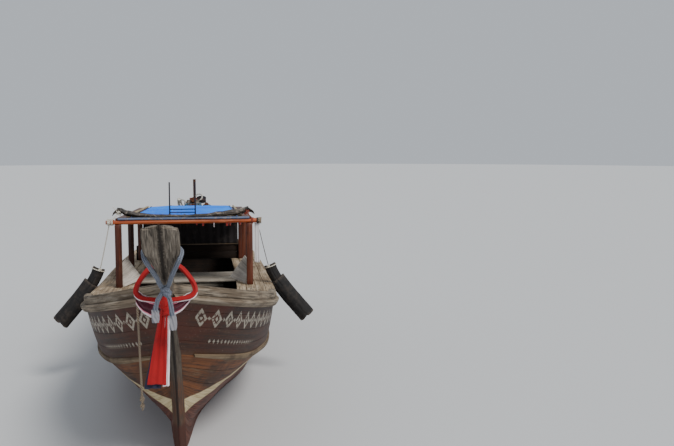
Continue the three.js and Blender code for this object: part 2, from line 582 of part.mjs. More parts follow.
// Pieces of the roof, in a group that slopes down aft
function canopy() {
  roof.position.set(0, ROOF.frontY, ROOF.z);
  roof.rotation.x = THREE.MathUtils.degToRad(ROOF.slopeDeg);
  const length = ROOF.rearY - ROOF.frontY;
  const railX = [POST.x - ROOF_RAIL.width / 2, POST.x + ROOF_RAIL.width / 2];
  const rails = [[...railX], railX.map((x) => -x).reverse()].map(
    ([a, b]) => block(a, b, FRONT_POLE.radius + 2 * GAP, length, 0, ROOF_RAIL.height));
  const beams = POST_YS.slice(1).map((y) => block(-POST.x, POST.x, y - ROOF.frontY - ROOF_BEAM.half,
    y - ROOF.frontY + ROOF_BEAM.half, ROOF_BEAM.low, ROOF_BEAM.high));
  add('roof_frame', joined(...rails, ...beams), 'postWood', roof);
  const deckZ = ROOF_RAIL.height + GAP;
  add('roof_panel', block(-ROOF.halfWidth, ROOF.halfWidth, -FRONT_POLE.radius, length + ROOF.eave, deckZ,
    deckZ + ROOF.panel), 'varnish', roof);
  const top = deckZ + ROOF.panel + GAP;
  const { half, y0, y1, edge, crown } = BLUE_TARP;
  const outline = [[-half, 0], [half, 0], [half - edge, edge], [half / 2, crown], [-half / 2, crown],
    [edge - half, edge]];
  const sheet = new THREE.Shape(outline.map(([x, z]) => new THREE.Vector2(x, z)));
  add('blue_tarp', new THREE.ExtrudeGeometry(sheet, { depth: y1 - y0, bevelEnabled: false })
    .rotateX(Math.PI / 2).translate(0, y1, top), 'blueTarp', roof);
  addPoles(top);
  add('black_tarp', loft(BLACK_TARP.map(([x, y, z, halfY, halfZ]) => roundOutline(1, 8).map(
    (p) => point(x, y + p.x * halfY, Math.max(top, top + z + p.y * halfZ))))), 'blackTarp', roof);
  const onRack = (x, z) => point(x, RACK.y, top + z);
  const uprights = RACK.xs.map((x) => bar(onRack(x, crown + GAP), onRack(x, RACK.height), RACK.radius, 8));
  const crossbars = RACK.bars.map(
    (z) => bar(onRack(RACK.xs[0], z), onRack(RACK.xs[1], z), RACK.barRadius, 8));
  add('roof_rack', joined(...uprights, ...crossbars), 'blackSteel', roof);
}

// Poles that weigh the tarpaulin down along both sides of the roof
function addPoles(top) {
  ['port', 'starboard'].forEach((side, i) => {
    const x = i ? -ROOF_POLE.x : ROOF_POLE.x;
    const [a, b] = [ROOF_POLE.y0, ROOF_POLE.y1].map((y) => point(x, y, top + ROOF_POLE.radius));
    add(`roof_pole_${side}`, bar(a, b, ROOF_POLE.radius, 10), 'bamboo', roof);
  });
}

// A strip cut from a tyre, with its hollow side towards the stern
// rows: x, y, z along its middle
function tyreStrip(rows, outerR, innerR, steps) {
  const curve = pathThrough(rows);
  const toStern = point(0, 1, 0);
  return loft(Array.from({ length: steps + 1 }, (_, i) => {
    const across = curve.getTangent(i / steps).cross(toStern).normalize();
    const arc = (radius) => Array.from({ length: FENDER.facets + 1 }, (__, k) => {
      const angle = (Math.PI * k) / FENDER.facets;
      return curve.getPoint(i / steps).addScaledVector(across, radius * Math.cos(angle))
        .addScaledVector(toStern, -radius * Math.sin(angle));
    });
    return [...arc(outerR), ...arc(innerR).reverse()];
  }));
}

// Two strips one in the other, hung over the rail and standing away from the side
function fenders() {
  const upper = tyreStrip(FENDER.upper, FENDER.upperOuter, FENDER.upperInner, 5);
  const lower = tyreStrip(FENDER.lower, FENDER.lowerOuter, FENDER.lowerInner, 6);
  addPair('fender', joined(upper, lower), 'rubber', deckRoom(), mirrored(deckRoom()));
}

// A smooth curve through rows of x, y, z
function pathThrough(rows) {
  return new THREE.CatmullRomCurve3(rows.map(([x, y, z]) => point(x, y, z)), false, 'centripetal');
}

// Cloths tied round the neck of the stem
function bowCloths() {
  const strap = sweep(pathThrough(SASH.strap), roundOutline(SASH.radius, 8), 16);
  const sashTails = SASH.tails.map((rows) => sweep(pathThrough(rows), roundOutline(SASH.tailRadius, 8), 5));
  const sashKnot = new THREE.SphereGeometry(SASH.knot[3], 10, 8).translate(...SASH.knot.slice(0, 3));
  add('neck_sash', cut(joined(strap, mirrored(strap), sashKnot, ...sashTails), stem(GAP)), 'sash');
  const half = sweep(pathThrough(GARLAND.loop), roundOutline(GARLAND.radius, 8), 16);
  const knot = new THREE.SphereGeometry(GARLAND.knot[3], 10, 8).translate(...GARLAND.knot.slice(0, 3));
  const tail = loft(GARLAND.tail.map(([z, x0, x1]) => {
    const [front, back] = [GARLAND.tailY - GARLAND.tailHalf, GARLAND.tailY + GARLAND.tailHalf];
    return [point(x0, front, z), point(x1, front, z), point(x1, back, z), point(x0, back, z)];
  }));
  add('flag_sash', cut(joined(half, mirrored(half), tail, knot), stem(GAP)), 'flagCloth');
  const ropeSolid = sweep(pathThrough(BOW_ROPE), roundOutline(ROPE_RADIUS, 8), 30);
  add('bow_rope', cut(ropeSolid, mirrored(rubRail(GAP))), 'rope');
}

// Engine bed and the yoke that swivels on it
function engineMount() {
  const edge = at(outer.sheer, BED.fore);
  const bedLow = edge.z + DECK.thickness + GAP;
  const bedTop = outer.sheer.at(-1).z + DECK.thickness + GAP + BED.rise;
  const bedHalf = edge.x - BED.inset;
  add('engine_bed', block(-bedHalf, bedHalf, BED.fore, BED.aft, bedLow, bedTop), 'innerWood');
  const z0 = bedTop + GAP;
  const base = new THREE.CylinderGeometry(TURNTABLE_RADIUS, TURNTABLE_RADIUS, YOKE.base, 20)
    .rotateX(Math.PI / 2).translate(0, PIVOT.y, z0 + YOKE.base / 2);
  const [fore, aft] = [PIVOT.y - YOKE.depth / 2, PIVOT.y + YOKE.depth / 2];
  const reach = YOKE.inner + YOKE.arm;
  const low = z0 + YOKE.lift;
  const foot = block(-reach, reach, fore, aft, low, low + YOKE.foot);
  const arms = [[-reach, -YOKE.inner], [YOKE.inner, reach]].map(
    ([x0, x1]) => block(x0, x1, fore, aft, low, PIVOT.z + YOKE.above));
  add('engine_yoke', joined(base, foot, ...arms), 'rustSteel');
}

// A round part that turns about an axis along the boat
function drum([radius, length, x, y, z, sides]) {
  return new THREE.CylinderGeometry(radius, radius, length, sides).translate(x, y, z);
}

// Engine, frame and tail in a group whose +Y runs down the propeller shaft
function longTail() {
  engine.position.copy(PIVOT);
  engine.rotation.x = -TAIL_ANGLE;
  const pinEnd = YOKE.inner - GAP;
  const pin = bar(point(-pinEnd, 0, 0), point(pinEnd, 0, 0), PIN_RADIUS, 12);
  add('engine_frame', joined(...FRAME_BOXES.map((box) => block(...box)), pin), 'rustSteel', engine);
  addEngine();
  add('tiller', sweep(pathThrough(TILLER.rows), roundOutline(TILLER.radius, 10), 14), 'galvanised', engine);
  const tube = bar(point(0, TAIL.start, AXLE_Z), point(0, TAIL.length, AXLE_Z), TAIL.radius, 14);
  const skeg = new THREE.Shape(SKEG.map(([y, z]) => new THREE.Vector2(TAIL.length + y, AXLE_Z + z)));
  const fin = new THREE.ExtrudeGeometry(skeg, { depth: SKEG_THICKNESS, bevelEnabled: false })
    .rotateY(Math.PI / 2).rotateX(Math.PI / 2).translate(-SKEG_THICKNESS / 2, 0, 0);
  const collar = bar(point(0, COLLAR.from, AXLE_Z), point(0, COLLAR.to, AXLE_Z), COLLAR.radius, 14);
  add('tail_tube', joined(tube, collar, fin), 'galvanised', engine);
  add('propeller', propeller(), 'bronze', engine);
}

function addEngine() {
  const body = joined(...BLOCK_BOXES.map((box) => block(...box)), ...BLOCK_ROUNDS.map(drum));
  add('engine_block', cut(body, block(-300, 300, -1000, 200, -400, SEAT)), 'engineBlue', engine);
  const filter = new THREE.CylinderGeometry(AIR_FILTER.radius, AIR_FILTER.radius, AIR_FILTER.height, 16)
    .rotateX(Math.PI / 2).translate(...AIR_FILTER.place);
  const header = sweep(pathThrough(HEADER.rows), roundOutline(HEADER.radius, 10), 16);
  const cover = joined(...HEAD_BOXES.map((box) => block(...box)), filter, header);
  add('engine_head', cut(cover, block(-300, 300, -1000, 200, 0, 200 + GAP)), 'engineGrey', engine);
  const exhaust = sweep(pathThrough(EXHAUST.rows), roundOutline(EXHAUST.radius, 10), 14);
  add('exhaust_pipe', exhaust, 'rustSteel', engine);
}

function propeller() {
  const start = TAIL.length + GAP;
  const hub = new THREE.CylinderGeometry(PROPELLER.hub * 0.7, PROPELLER.hub, PROPELLER.hubLength, 12)
    .translate(0, start + PROPELLER.hubLength / 2, 0);
  const blades = Array.from({ length: PROPELLER.blades }, (_, i) => {
    const rings = BLADE.map(([r, half, pitch]) => {
      const turn = THREE.MathUtils.degToRad(pitch);
      const corner = (across, thick) => point(r, across * Math.sin(turn) + thick * Math.cos(turn),
        across * Math.cos(turn) - thick * Math.sin(turn));
      const t = BLADE_HALF_THICKNESS;
      return [corner(-half, -t), corner(half, -t), corner(half, t), corner(-half, t)];
    });
    const middle = start + PROPELLER.hubLength / 2 + 5;
    return loft(rings).rotateY((2 * Math.PI * i) / PROPELLER.blades).translate(0, middle, 0);
  });
  return joined(hub, ...blades).translate(0, 0, AXLE_Z);
}

hull();
lowerStrakes();
decks();
frames();
interior();
posts();
canopy();
fenders();
bowCloths();
engineMount();
longTail();

export default boat;
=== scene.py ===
import bpy
import random
from math import cos, exp, pi, radians, sin, tan
from mathutils import Matrix, Vector, noise


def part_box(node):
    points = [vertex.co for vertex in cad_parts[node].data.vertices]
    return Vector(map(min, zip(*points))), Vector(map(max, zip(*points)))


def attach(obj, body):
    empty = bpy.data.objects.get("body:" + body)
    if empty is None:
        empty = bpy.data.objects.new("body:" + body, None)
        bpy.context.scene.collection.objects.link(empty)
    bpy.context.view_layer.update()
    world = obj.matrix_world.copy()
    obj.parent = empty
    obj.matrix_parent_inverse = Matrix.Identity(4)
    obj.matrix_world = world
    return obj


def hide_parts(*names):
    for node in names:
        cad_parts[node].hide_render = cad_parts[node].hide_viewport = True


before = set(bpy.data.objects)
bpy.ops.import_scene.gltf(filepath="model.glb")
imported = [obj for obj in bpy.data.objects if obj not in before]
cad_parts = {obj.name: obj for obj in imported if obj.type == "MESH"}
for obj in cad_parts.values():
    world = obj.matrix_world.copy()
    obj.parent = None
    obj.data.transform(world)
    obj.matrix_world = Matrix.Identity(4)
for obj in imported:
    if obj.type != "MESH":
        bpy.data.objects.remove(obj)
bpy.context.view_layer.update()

# Camera at the photograph's viewing angle
IMAGE_WIDTH = 674
FOCAL_PIXELS = 850.0
CAMERA_PLACE = (0.33, -12.52, 3.07)
CAMERA_PITCH = 5.71
CAMERA_HEADING = 8.45
SENSOR_WIDTH = 36.0

# Floor, sky and sun
FLOOR_REACH, FLOOR_COLOUR, WATERLINE_INSET = 90, (.62, .63, .64), .010
SKY_COLOUR, SKY_POWER = (.86, .92, 1, 1), .6
SUN_COLOUR, SUN_POWER, SUN_WIDTH, SUN_TURN = (1, .97, .92), 2.8, 20, (38, 26, 0)

# Rope at the bow: it leaves the starboard cap rail and hangs beside the stem
ROPE_RADIUS = 0.009
ROPE_ROUTE = [(-.205, -5.680, 1.785), (-.232, -5.706, 1.778), (-.252, -5.724, 1.758), (-.258, -5.730, 1.720),
              (-.256, -5.731, 1.650), (-.252, -5.732, 1.500), (-.248, -5.731, 1.350), (-.244, -5.730, 1.200),
              (-.240, -5.730, 1.080), (-.238, -5.729, .985), (-.237, -5.729, .930)]

# Hull: stations in the frame's drawing, and how many times finer they are here
STATIONS = 24
FINER = 4
PLANK = .028
CLEAR = .0003
TRANSOM_Y = 4.380
HULL_LINES = {
    "keel": [(.040, -4.330, .090), (.055, -4.090, -.070), (.060, -3.750, -.195), (.060, -3.200, -.275),
             (.060, -2.400, -.305), (.060, -1.200, -.330), (.060, .400, -.345), (.060, 2.100, -.335),
             (.060, 3.400, -.305), (.060, 4.380, -.265)],
    "bilge": [(.030, -4.640, .520), (.085, -4.250, .300), (.122, -3.750, .170), (.195, -3.150, .110),
              (.400, -2.500, .075), (.735, -1.400, .035), (.875, .300, -.030), (.865, 2.100, -.050),
              (.815, 3.400, -.035), (.745, 4.380, .000)],
    "strake": [(.030, -5.150, 1.200), (.350, -4.750, 1.066), (.638, -4.100, .890), (.853, -3.300, .772),
               (.978, -2.400, .676), (1.024, -1.150, .592), (1.032, .400, .545), (1.010, 2.100, .522),
               (.960, 3.400, .506), (.890, 4.380, .500)],
    "sheer": [(.030, -5.930, 1.880), (.500, -5.250, 1.700), (.800, -4.400, 1.520), (.980, -3.500, 1.360),
              (1.045, -2.500, 1.255), (1.070, -1.200, 1.175), (1.080, .400, 1.120), (1.060, 2.100, 1.060),
              (1.010, 3.400, 1.010), (.950, 4.380, .960)],
}
NAMES = list(HULL_LINES)
PANELS = {  # lower line, upper line, plank count, bulge
    "bottom_planks": ("keel", "bilge", 5, .006),
    "side_planks": ("bilge", "strake", 5, .010),
    "topside_planks": ("strake", "sheer", 4, .014),
}
SEAM_HALF = .003
SEAM_DEPTH = .005

# Stem sections from the head down, as in the frame
# Columns: y and z of the leading edge, half-width, setback, depth, back's half-width, drop
STEM = [(-6.818, 2.480, .122, .012, .024, .100, .050), (-6.754, 2.424, .130, .020, .084, .084, .030),
        (-6.690, 2.368, .131, .024, .135, .066, .018), (-6.562, 2.258, .128, .030, .160, .060, .006),
        (-6.468, 2.182, .102, .034, .175, .054, 0), (-6.350, 2.098, .066, .038, .190, .046, 0),
        (-6.225, 2.005, .036, .040, .205, .034, 0), (-6.090, 1.905, .038, .044, .220, .038, 0),
        (-5.850, 1.715, .048, .088, .222, .048, 0), (-5.270, 1.200, .058, .112, .205, .056, 0),
        (-4.790, .575, .058, .110, .195, .056, 0), (-4.400, 0, .056, .105, .190, .054, 0),
        (-4.130, -.230, .050, .090, .175, .050, 0), (-3.880, -.330, .045, .070, .150, .045, 0)]

LEAN, LEAN_START, LEAN_RISE = -.015, 1.5, .6
RAIL_PROUD, RAIL_HEIGHT, RAIL_END = .058, .078, -2.950
CAP_WIDTH, CAP_HEIGHT, CAP_END = .062, .080, -3.120
DECK_THICK, DECK_WIDTH, DECK_OVERHANG, DECK_FORE = .024, .430, .030, -3.050

# Posts and roof
POST_X, POST_WIDTH, POST_DEPTH = .800, .078, .066
POST_YS = (-1.900, -.250, 1.350)
ROOF_FRONT, ROOF_REAR, ROOF_Z, ROOF_SLOPE = -1.900, 1.620, 2.018, 2.5
ROOF_TOP = .0736
ROOF_HALF = .832
POLE_HALF, POLE_RADIUS = .945, .029
POLE_Z = 2.0456
LASHING_X = .905
TARP_HALF, TARP_START, TARP_END = .655, .118, 3.440
TARP_EDGE, TARP_CROWN = .014, .026
BAMBOO_X, BAMBOO_START, BAMBOO_END, BAMBOO_RADIUS = .692, .150, 3.580, .019
# Black tarpaulin gathered across the roof: x, y, z above the roof, half-sizes along y and z
BLACK_TARP = [(-.812, .070, .108, .026, .022), (-.770, .066, .096, .040, .034), (-.690, .060, .062, .050, .040),
              (-.560, .056, .034, .055, .034), (-.300, .054, .020, .056, .024), (0, .052, .016, .054, .020),
              (.250, .054, .022, .056, .026), (.450, .058, .038, .058, .036), (.620, .060, .052, .058, .042),
              (.720, .064, .080, .048, .040), (.790, .068, .108, .030, .026)]
RACK_XS, RACK_Y, RACK_HEIGHT, RACK_RADIUS = (-.190, .130), .300, .430, .009
RACK_BARS = (.052, .092)

PIVOT = Vector((0, 4.200, 1.330))
TAIL_ANGLE = radians(25)

dice = random.Random(11)
UP, AFT, FORE = Vector((0, 0, 1)), Vector((0, 1, 0)), Vector((0, -1, 0))
TURN = 2 * pi


# Geometry

def spline(points, t):
    """Centripetal curve through points, t from 0 to 1, as the frame's lines are drawn."""
    pts = [Vector(p) for p in points]
    last = len(pts) - 1
    place = last * t
    k = min(int(place), last - 1)
    w = place - k
    p1, p2 = pts[k], pts[k + 1]
    p0 = pts[k - 1] if k > 0 else p1 * 2 - p2
    p3 = pts[k + 2] if k + 2 <= last else p2 * 2 - p1
    d1 = max((p2 - p1).length ** .5, 1e-5)
    d0 = (p1 - p0).length ** .5 or d1
    d2 = (p3 - p2).length ** .5 or d1
    m1 = ((p1 - p0) / d0 - (p2 - p0) / (d0 + d1) + (p2 - p1) / d1) * d1
    m2 = ((p2 - p1) / d1 - (p3 - p1) / (d1 + d2) + (p3 - p2) / d2) * d1
    return p1 + m1 * w + (p1 * -3 + p2 * 3 - m1 * 2 - m2) * w * w + (p1 * 2 - p2 * 2 + m1 + m2) * w ** 3


def even(points, count):
    """count points spaced evenly along the curve through points."""
    fine = [spline(points, i / 400) for i in range(401)]
    run = [0.0]
    for a, b in zip(fine, fine[1:]):
        run.append(run[-1] + (b - a).length)
    found, k = [], 0
    for i in range(count):
        want = run[-1] * i / (count - 1)
        while k < 399 and run[k + 1] < want:
            k += 1
        share = (want - run[k]) / max(run[k + 1] - run[k], 1e-9)
        found.append(fine[k].lerp(fine[k + 1], min(1, share)))
    return found


def rows_at(rows, t):
    """One row of numbers, blended smoothly between rows."""
    last = len(rows) - 1
    place = last * t
    k = min(int(place), last - 1)
    w = place - k
    found = []
    for column in range(len(rows[0])):
        p1, p2 = rows[k][column], rows[k + 1][column]
        p0 = rows[k - 1][column] if k else p1
        p3 = rows[k + 2][column] if k + 2 <= last else p2
        m1, m2 = (p2 - p0) / 2, (p3 - p1) / 2
        found.append(p1 + m1 * w + (-3 * p1 + 3 * p2 - 2 * m1 - m2) * w * w
                     + (2 * p1 - 2 * p2 + m1 + m2) * w ** 3)
    return found


def wobble(seed, *place):
    """Smooth noise from -1 to 1."""
    spot = list(place) + [0] * (3 - len(place))
    return noise.noise(Vector(spot) + Vector((seed * 7.13, seed * 3.71, seed * 1.37)))


def add(name, data):
    thing = bpy.data.objects.new(name, data)
    bpy.context.scene.collection.objects.link(thing)
    return thing


class Shape:
    """Collects lofts into one mesh with a map in metres, along and across each loft."""

    def __init__(self):
        self.points, self.faces, self.maps, self.tones, self.marks, self.rises = [], [], [], [], [], []

    def loft(self, rings, closed=True, tone=None, mark=0, marks=None, tones=None, rises=None):
        base = len(self.points)
        size = len(rings[0])
        run = [0.0] * (size + 1)
        for ring in rings:
            for j in range(size):
                step = (Vector(ring[(j + 1) % size]) - Vector(ring[j])).length
                run[j + 1] += step / len(rings)
        for j in range(size):
            run[j + 1] += run[j]
        along = [0.0]
        for a, b in zip(rings, rings[1:]):
            step = sum((Vector(q) - Vector(p)).length for p, q in zip(a, b)) / size
            along.append(along[-1] + step)
        tone = dice.random() if tone is None else tone
        shift = tone * 9.0
        for ring in rings:
            self.points.extend(tuple(p) for p in ring)
            self.rises.extend(rises or [0.0] * size)
        start = len(self.faces)
        for i in range(len(rings) - 1):
            for j in range(size if closed else size - 1):
                k = (j + 1) % size
                a, b = base + i * size, base + (i + 1) * size
                self.faces.append((a + j, a + k, b + k, b + j))
                less = shift - (run[size] if closed and j >= size / 2 else 0)
                u0, u1, v0, v1 = along[i] + shift, along[i + 1] + shift, run[j] + less, run[j + 1] + less
                self.maps.append([(u0, v0), (u0, v1), (u1, v1), (u1, v0)])
                self.tones.append(tones[j] if tones else tone)
                self.marks.append(marks[j] if marks else mark)
        if closed:
            for i, way in ((0, -1), (len(rings) - 1, 1)):
                loop = [base + i * size + j for j in range(size)][::way]
                self.faces.append(tuple(loop))
                middle = sum((Vector(p) for p in rings[i]), Vector()) / size
                self.maps.append([(shift + (Vector(self.points[v]) - middle).x * .3,
                                   shift + (Vector(self.points[v]) - middle).z) for v in loop])
                self.tones.append(tone)
                self.marks.append(mark)
            if self.volume(start) < 0:
                for i in range(start, len(self.faces)):
                    self.faces[i] = tuple(reversed(self.faces[i]))
                    self.maps[i] = list(reversed(self.maps[i]))
        return self

    def volume(self, start):
        total = 0.0
        for face in self.faces[start:]:
            corner = Vector(self.points[face[0]])
            for b, c in zip(face[1:], face[2:]):
                total += corner.dot(Vector(self.points[b]).cross(Vector(self.points[c])))
        return total

    def twin(self, u=0.0, v=0.0, turn=0.0):
        """The mirror image across the middle of the boat, with its map and tones shifted."""
        other = Shape()
        other.points = [(-x, y, z) for x, y, z in self.points]
        other.faces = [tuple(reversed(face)) for face in self.faces]
        other.maps = [[(a + u, b + v) for a, b in reversed(face)] for face in self.maps]
        other.tones = [(tone + turn) % 1 for tone in self.tones]
        other.marks, other.rises = self.marks, self.rises
        return other

    def turned(self, matrix):
        self.points = [tuple(matrix @ Vector(p)) for p in self.points]
        return self

    def build(self, name, body, finish, slot, replaces=(), angle=38):
        """Makes the piece. finish is one name in FINISH, or a name for each mark."""
        mesh = bpy.data.meshes.new(name)
        mesh.from_pydata(self.points, [], self.faces)
        flat = [value for face in self.maps for pair in face for value in pair]
        mesh.uv_layers.new(name="chart").data.foreach_set("uv", flat)
        mesh.attributes.new("tone", "FLOAT", "FACE").data.foreach_set("value", self.tones)
        if any(self.rises):
            mesh.attributes.new("rise", "FLOAT", "POINT").data.foreach_set("value", self.rises)
        for key in [finish] if isinstance(finish, str) else finish:
            mesh.materials.append(FINISH[key].material)
        mesh.polygons.foreach_set("material_index", self.marks)
        mesh.shade_smooth()
        if angle:
            mesh.set_sharp_from_angle(angle=radians(angle))
        mesh.update()
        piece = add(name, mesh)
        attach(piece, body)
        if replaces:
            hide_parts(*replaces)
        return piece


def frames_along(path, up=UP):
    """For each point of path: direction, and two axes square to it that turn as little as they can."""
    found = []
    for i in range(len(path)):
        a, b = path[max(i - 1, 0)], path[min(i + 1, len(path) - 1)]
        way = (Vector(b) - Vector(a)).normalized()
        side = found[-1][1] if found else (up.cross(way) if abs(up.dot(way)) < .98 else Vector((1, 0, 0)))
        side = (side - way * side.dot(way)).normalized()
        found.append((way, side, way.cross(side)))
    return found


def sweep(shape, path, outline, up=UP, tone=None, mark=0, scale=None):
    """outline is a list of (across, up) pairs, or a function of the share along that gives one."""
    path = [Vector(p) for p in path]
    rings = []
    for i, (p, (_, side, high)) in enumerate(zip(path, frames_along(path, up))):
        share = i / (len(path) - 1)
        pairs = outline(share) if callable(outline) else outline
        size = scale(share) if scale else 1.0
        rings.append([p + side * (size * a) + high * (size * b) for a, b in pairs])
    shape.loft(rings, tone=tone, mark=mark)


def circle(radius, sides=12):
    return [(radius * cos(TURN * i / sides), radius * sin(TURN * i / sides)) for i in range(sides)]


def chamfered(width, thick, cut=.004):
    """Outline of a timber with small rounded corners."""
    a, b = width / 2, thick / 2
    cut = min(cut, a * .45, b * .45)
    r = cut * .35
    return [(-a + cut, -b), (a - cut, -b), (a - r, -b + r), (a, -b + cut), (a, b - cut), (a - r, b - r),
            (a - cut, b), (-a + cut, b), (-a + r, b - r), (-a, b - cut), (-a, -b + cut), (-a + r, -b + r)]


def timber(shape, a, b, width, thick, up=UP, cut=.004, steps=8, wave=.0015):
    """A straight sawn piece from a to b, with softened edges and ends, very slightly out of true."""
    a, b = Vector(a), Vector(b)
    seed = dice.random() * 50
    length = (b - a).length
    tip = min(cut, length * .1)
    places = [0, tip / length] + [i / steps for i in range(1, steps)] + [1 - tip / length, 1]
    _, side, high = frames_along([a, b], up)[0]
    rings = []
    for t in places:
        p = a.lerp(b, t)
        p += side * wobble(seed, t * length * 1.3) * wave + high * wobble(seed + 9, t * length * 1.3) * wave
        k = 1 - 1.4 * tip / max(width, thick) if t in (0, 1) else 1.0
        rings.append([p + side * (x * k) + high * (z * k) for x, z in chamfered(width, thick, cut)])
    shape.loft(rings)


def boards(shape, low, high, across, count, gap=.003, along=None, uneven=.002):
    """Fills a box with count boards side by side; across is the axis that they are laid along, 0, 1 or 2."""
    low, high = Vector(low), Vector(high)
    size = high - low
    rest = [axis for axis in range(3) if axis != across]
    along = along if along is not None else max(rest, key=lambda axis: size[axis])
    third = next(axis for axis in rest if axis != along)
    width = size[across] / count
    up = Vector([float(axis == third) for axis in range(3)])
    for k in range(count):
        a, b = low.copy(), low.copy()
        for p in (a, b):
            p[across] += width * (k + .5)
            p[third] += size[third] / 2
        a[along] = low[along] + dice.random() * uneven
        b[along] = high[along] - dice.random() * uneven
        timber(shape, a, b, width - gap, size[third], up, .004, 8, .0012)


def ball(shape, centre, radii, rows=8, sides=14, bumps=0.0, seed=1):
    """A lumpy closed ball, as for a knot."""
    centre = Vector(centre)
    rings = []
    for i in range(rows + 1):
        turn = pi * (i / rows) * .96 + pi * .02
        ring = []
        for j in range(sides):
            spin = TURN * j / sides
            way = Vector((sin(turn) * cos(spin), sin(turn) * sin(spin), cos(turn)))
            size = 1 + bumps * wobble(seed, *(way * 1.7))
            ring.append(centre + Vector((way.x * radii[0], way.y * radii[1], way.z * radii[2])) * size)
        rings.append(ring)
    shape.loft(rings)


def lathe(shape, centre, axis, profile, sides=24, mark=0):
    """A turned piece: profile is (distance along the axis, radius)."""
    centre, axis = Vector(centre), Vector(axis).normalized()
    side = axis.cross(UP if abs(axis.z) < .9 else Vector((1, 0, 0))).normalized()
    other = axis.cross(side)
    rim = [side * cos(TURN * j / sides) + other * sin(TURN * j / sides) for j in range(sides)]
    shape.loft([[centre + axis * s + way * r for way in rim] for s, r in profile], mark=mark)


def grid(down, across, place):
    """Rows of points for a sheet; place takes the shares down and across it."""
    return [[place(i / down, j / across) for j in range(across + 1)] for i in range(down + 1)]


def sheet(name, rows, finish, slot, nodes=(), tone=.5, marks=None):
    """Builds rows of points as a sheet with its thickness."""
    shape = Shape().loft(rows, closed=False, tone=tone, marks=marks)
    return thicken(shape.build(name, "boat", finish, slot, nodes, 0))


def thicken(piece, thickness=.0012):
    """Gives a sheet its thickness and its turned edges."""
    modifier = piece.modifiers.new("thickness", "SOLIDIFY")
    modifier.thickness = thickness
    modifier.offset = 0
    return piece


def section(y, *pairs):
    """A ring square to the boat's length."""
    return [Vector((x, y, z)) for x, z in pairs]


def pair(shape, name, finish, slot, node, angle=38, shift=(3.3, 1.7, .31)):
    """Builds a port shape and its starboard twin."""
    for side, half in (("port", shape), ("starboard", shape.twin(*shift))):
        half.build(f"{name}_{side}", "boat", finish, slot, [f"{node}_{side}"], angle)


# Materials

class Value:
    """The output of a node. Arithmetic with it adds nodes."""

    def __init__(self, finish, socket):
        self.finish, self.socket = finish, socket

    def __add__(self, other):
        return self.finish.maths("ADD", self, other)

    def __sub__(self, other):
        return self.finish.maths("SUBTRACT", self, other)

    def __rsub__(self, other):
        return self.finish.maths("SUBTRACT", other, self)

    def __mul__(self, other):
        return self.finish.maths("MULTIPLY", self, other)

    def __truediv__(self, other):
        return self.finish.maths("DIVIDE", self, other)

    def __abs__(self):
        return self.finish.maths("ABSOLUTE", self)

    def most(self, other):
        return self.finish.maths("MAXIMUM", self, other)

    def zigzag(self):
        """.5 at every whole number and 0 halfway between."""
        return abs(self.finish.maths("FRACT", self) - .5)

    def ramp(self, low, high):
        """0 below low, 1 above high."""
        return self.finish.value("MapRange", {"Value": self, "From Min": low, "From Max": high},
                                 interpolation_type="SMOOTHSTEP")

    def line(self, half):
        """1 within half of the middle of a noise, for cracks and creases."""
        return 1 - abs(self - .5).ramp(0, half)

    def split(self):
        return [Value(self.finish, part) for part in self.finish.node("SeparateXYZ", {0: self}).outputs]


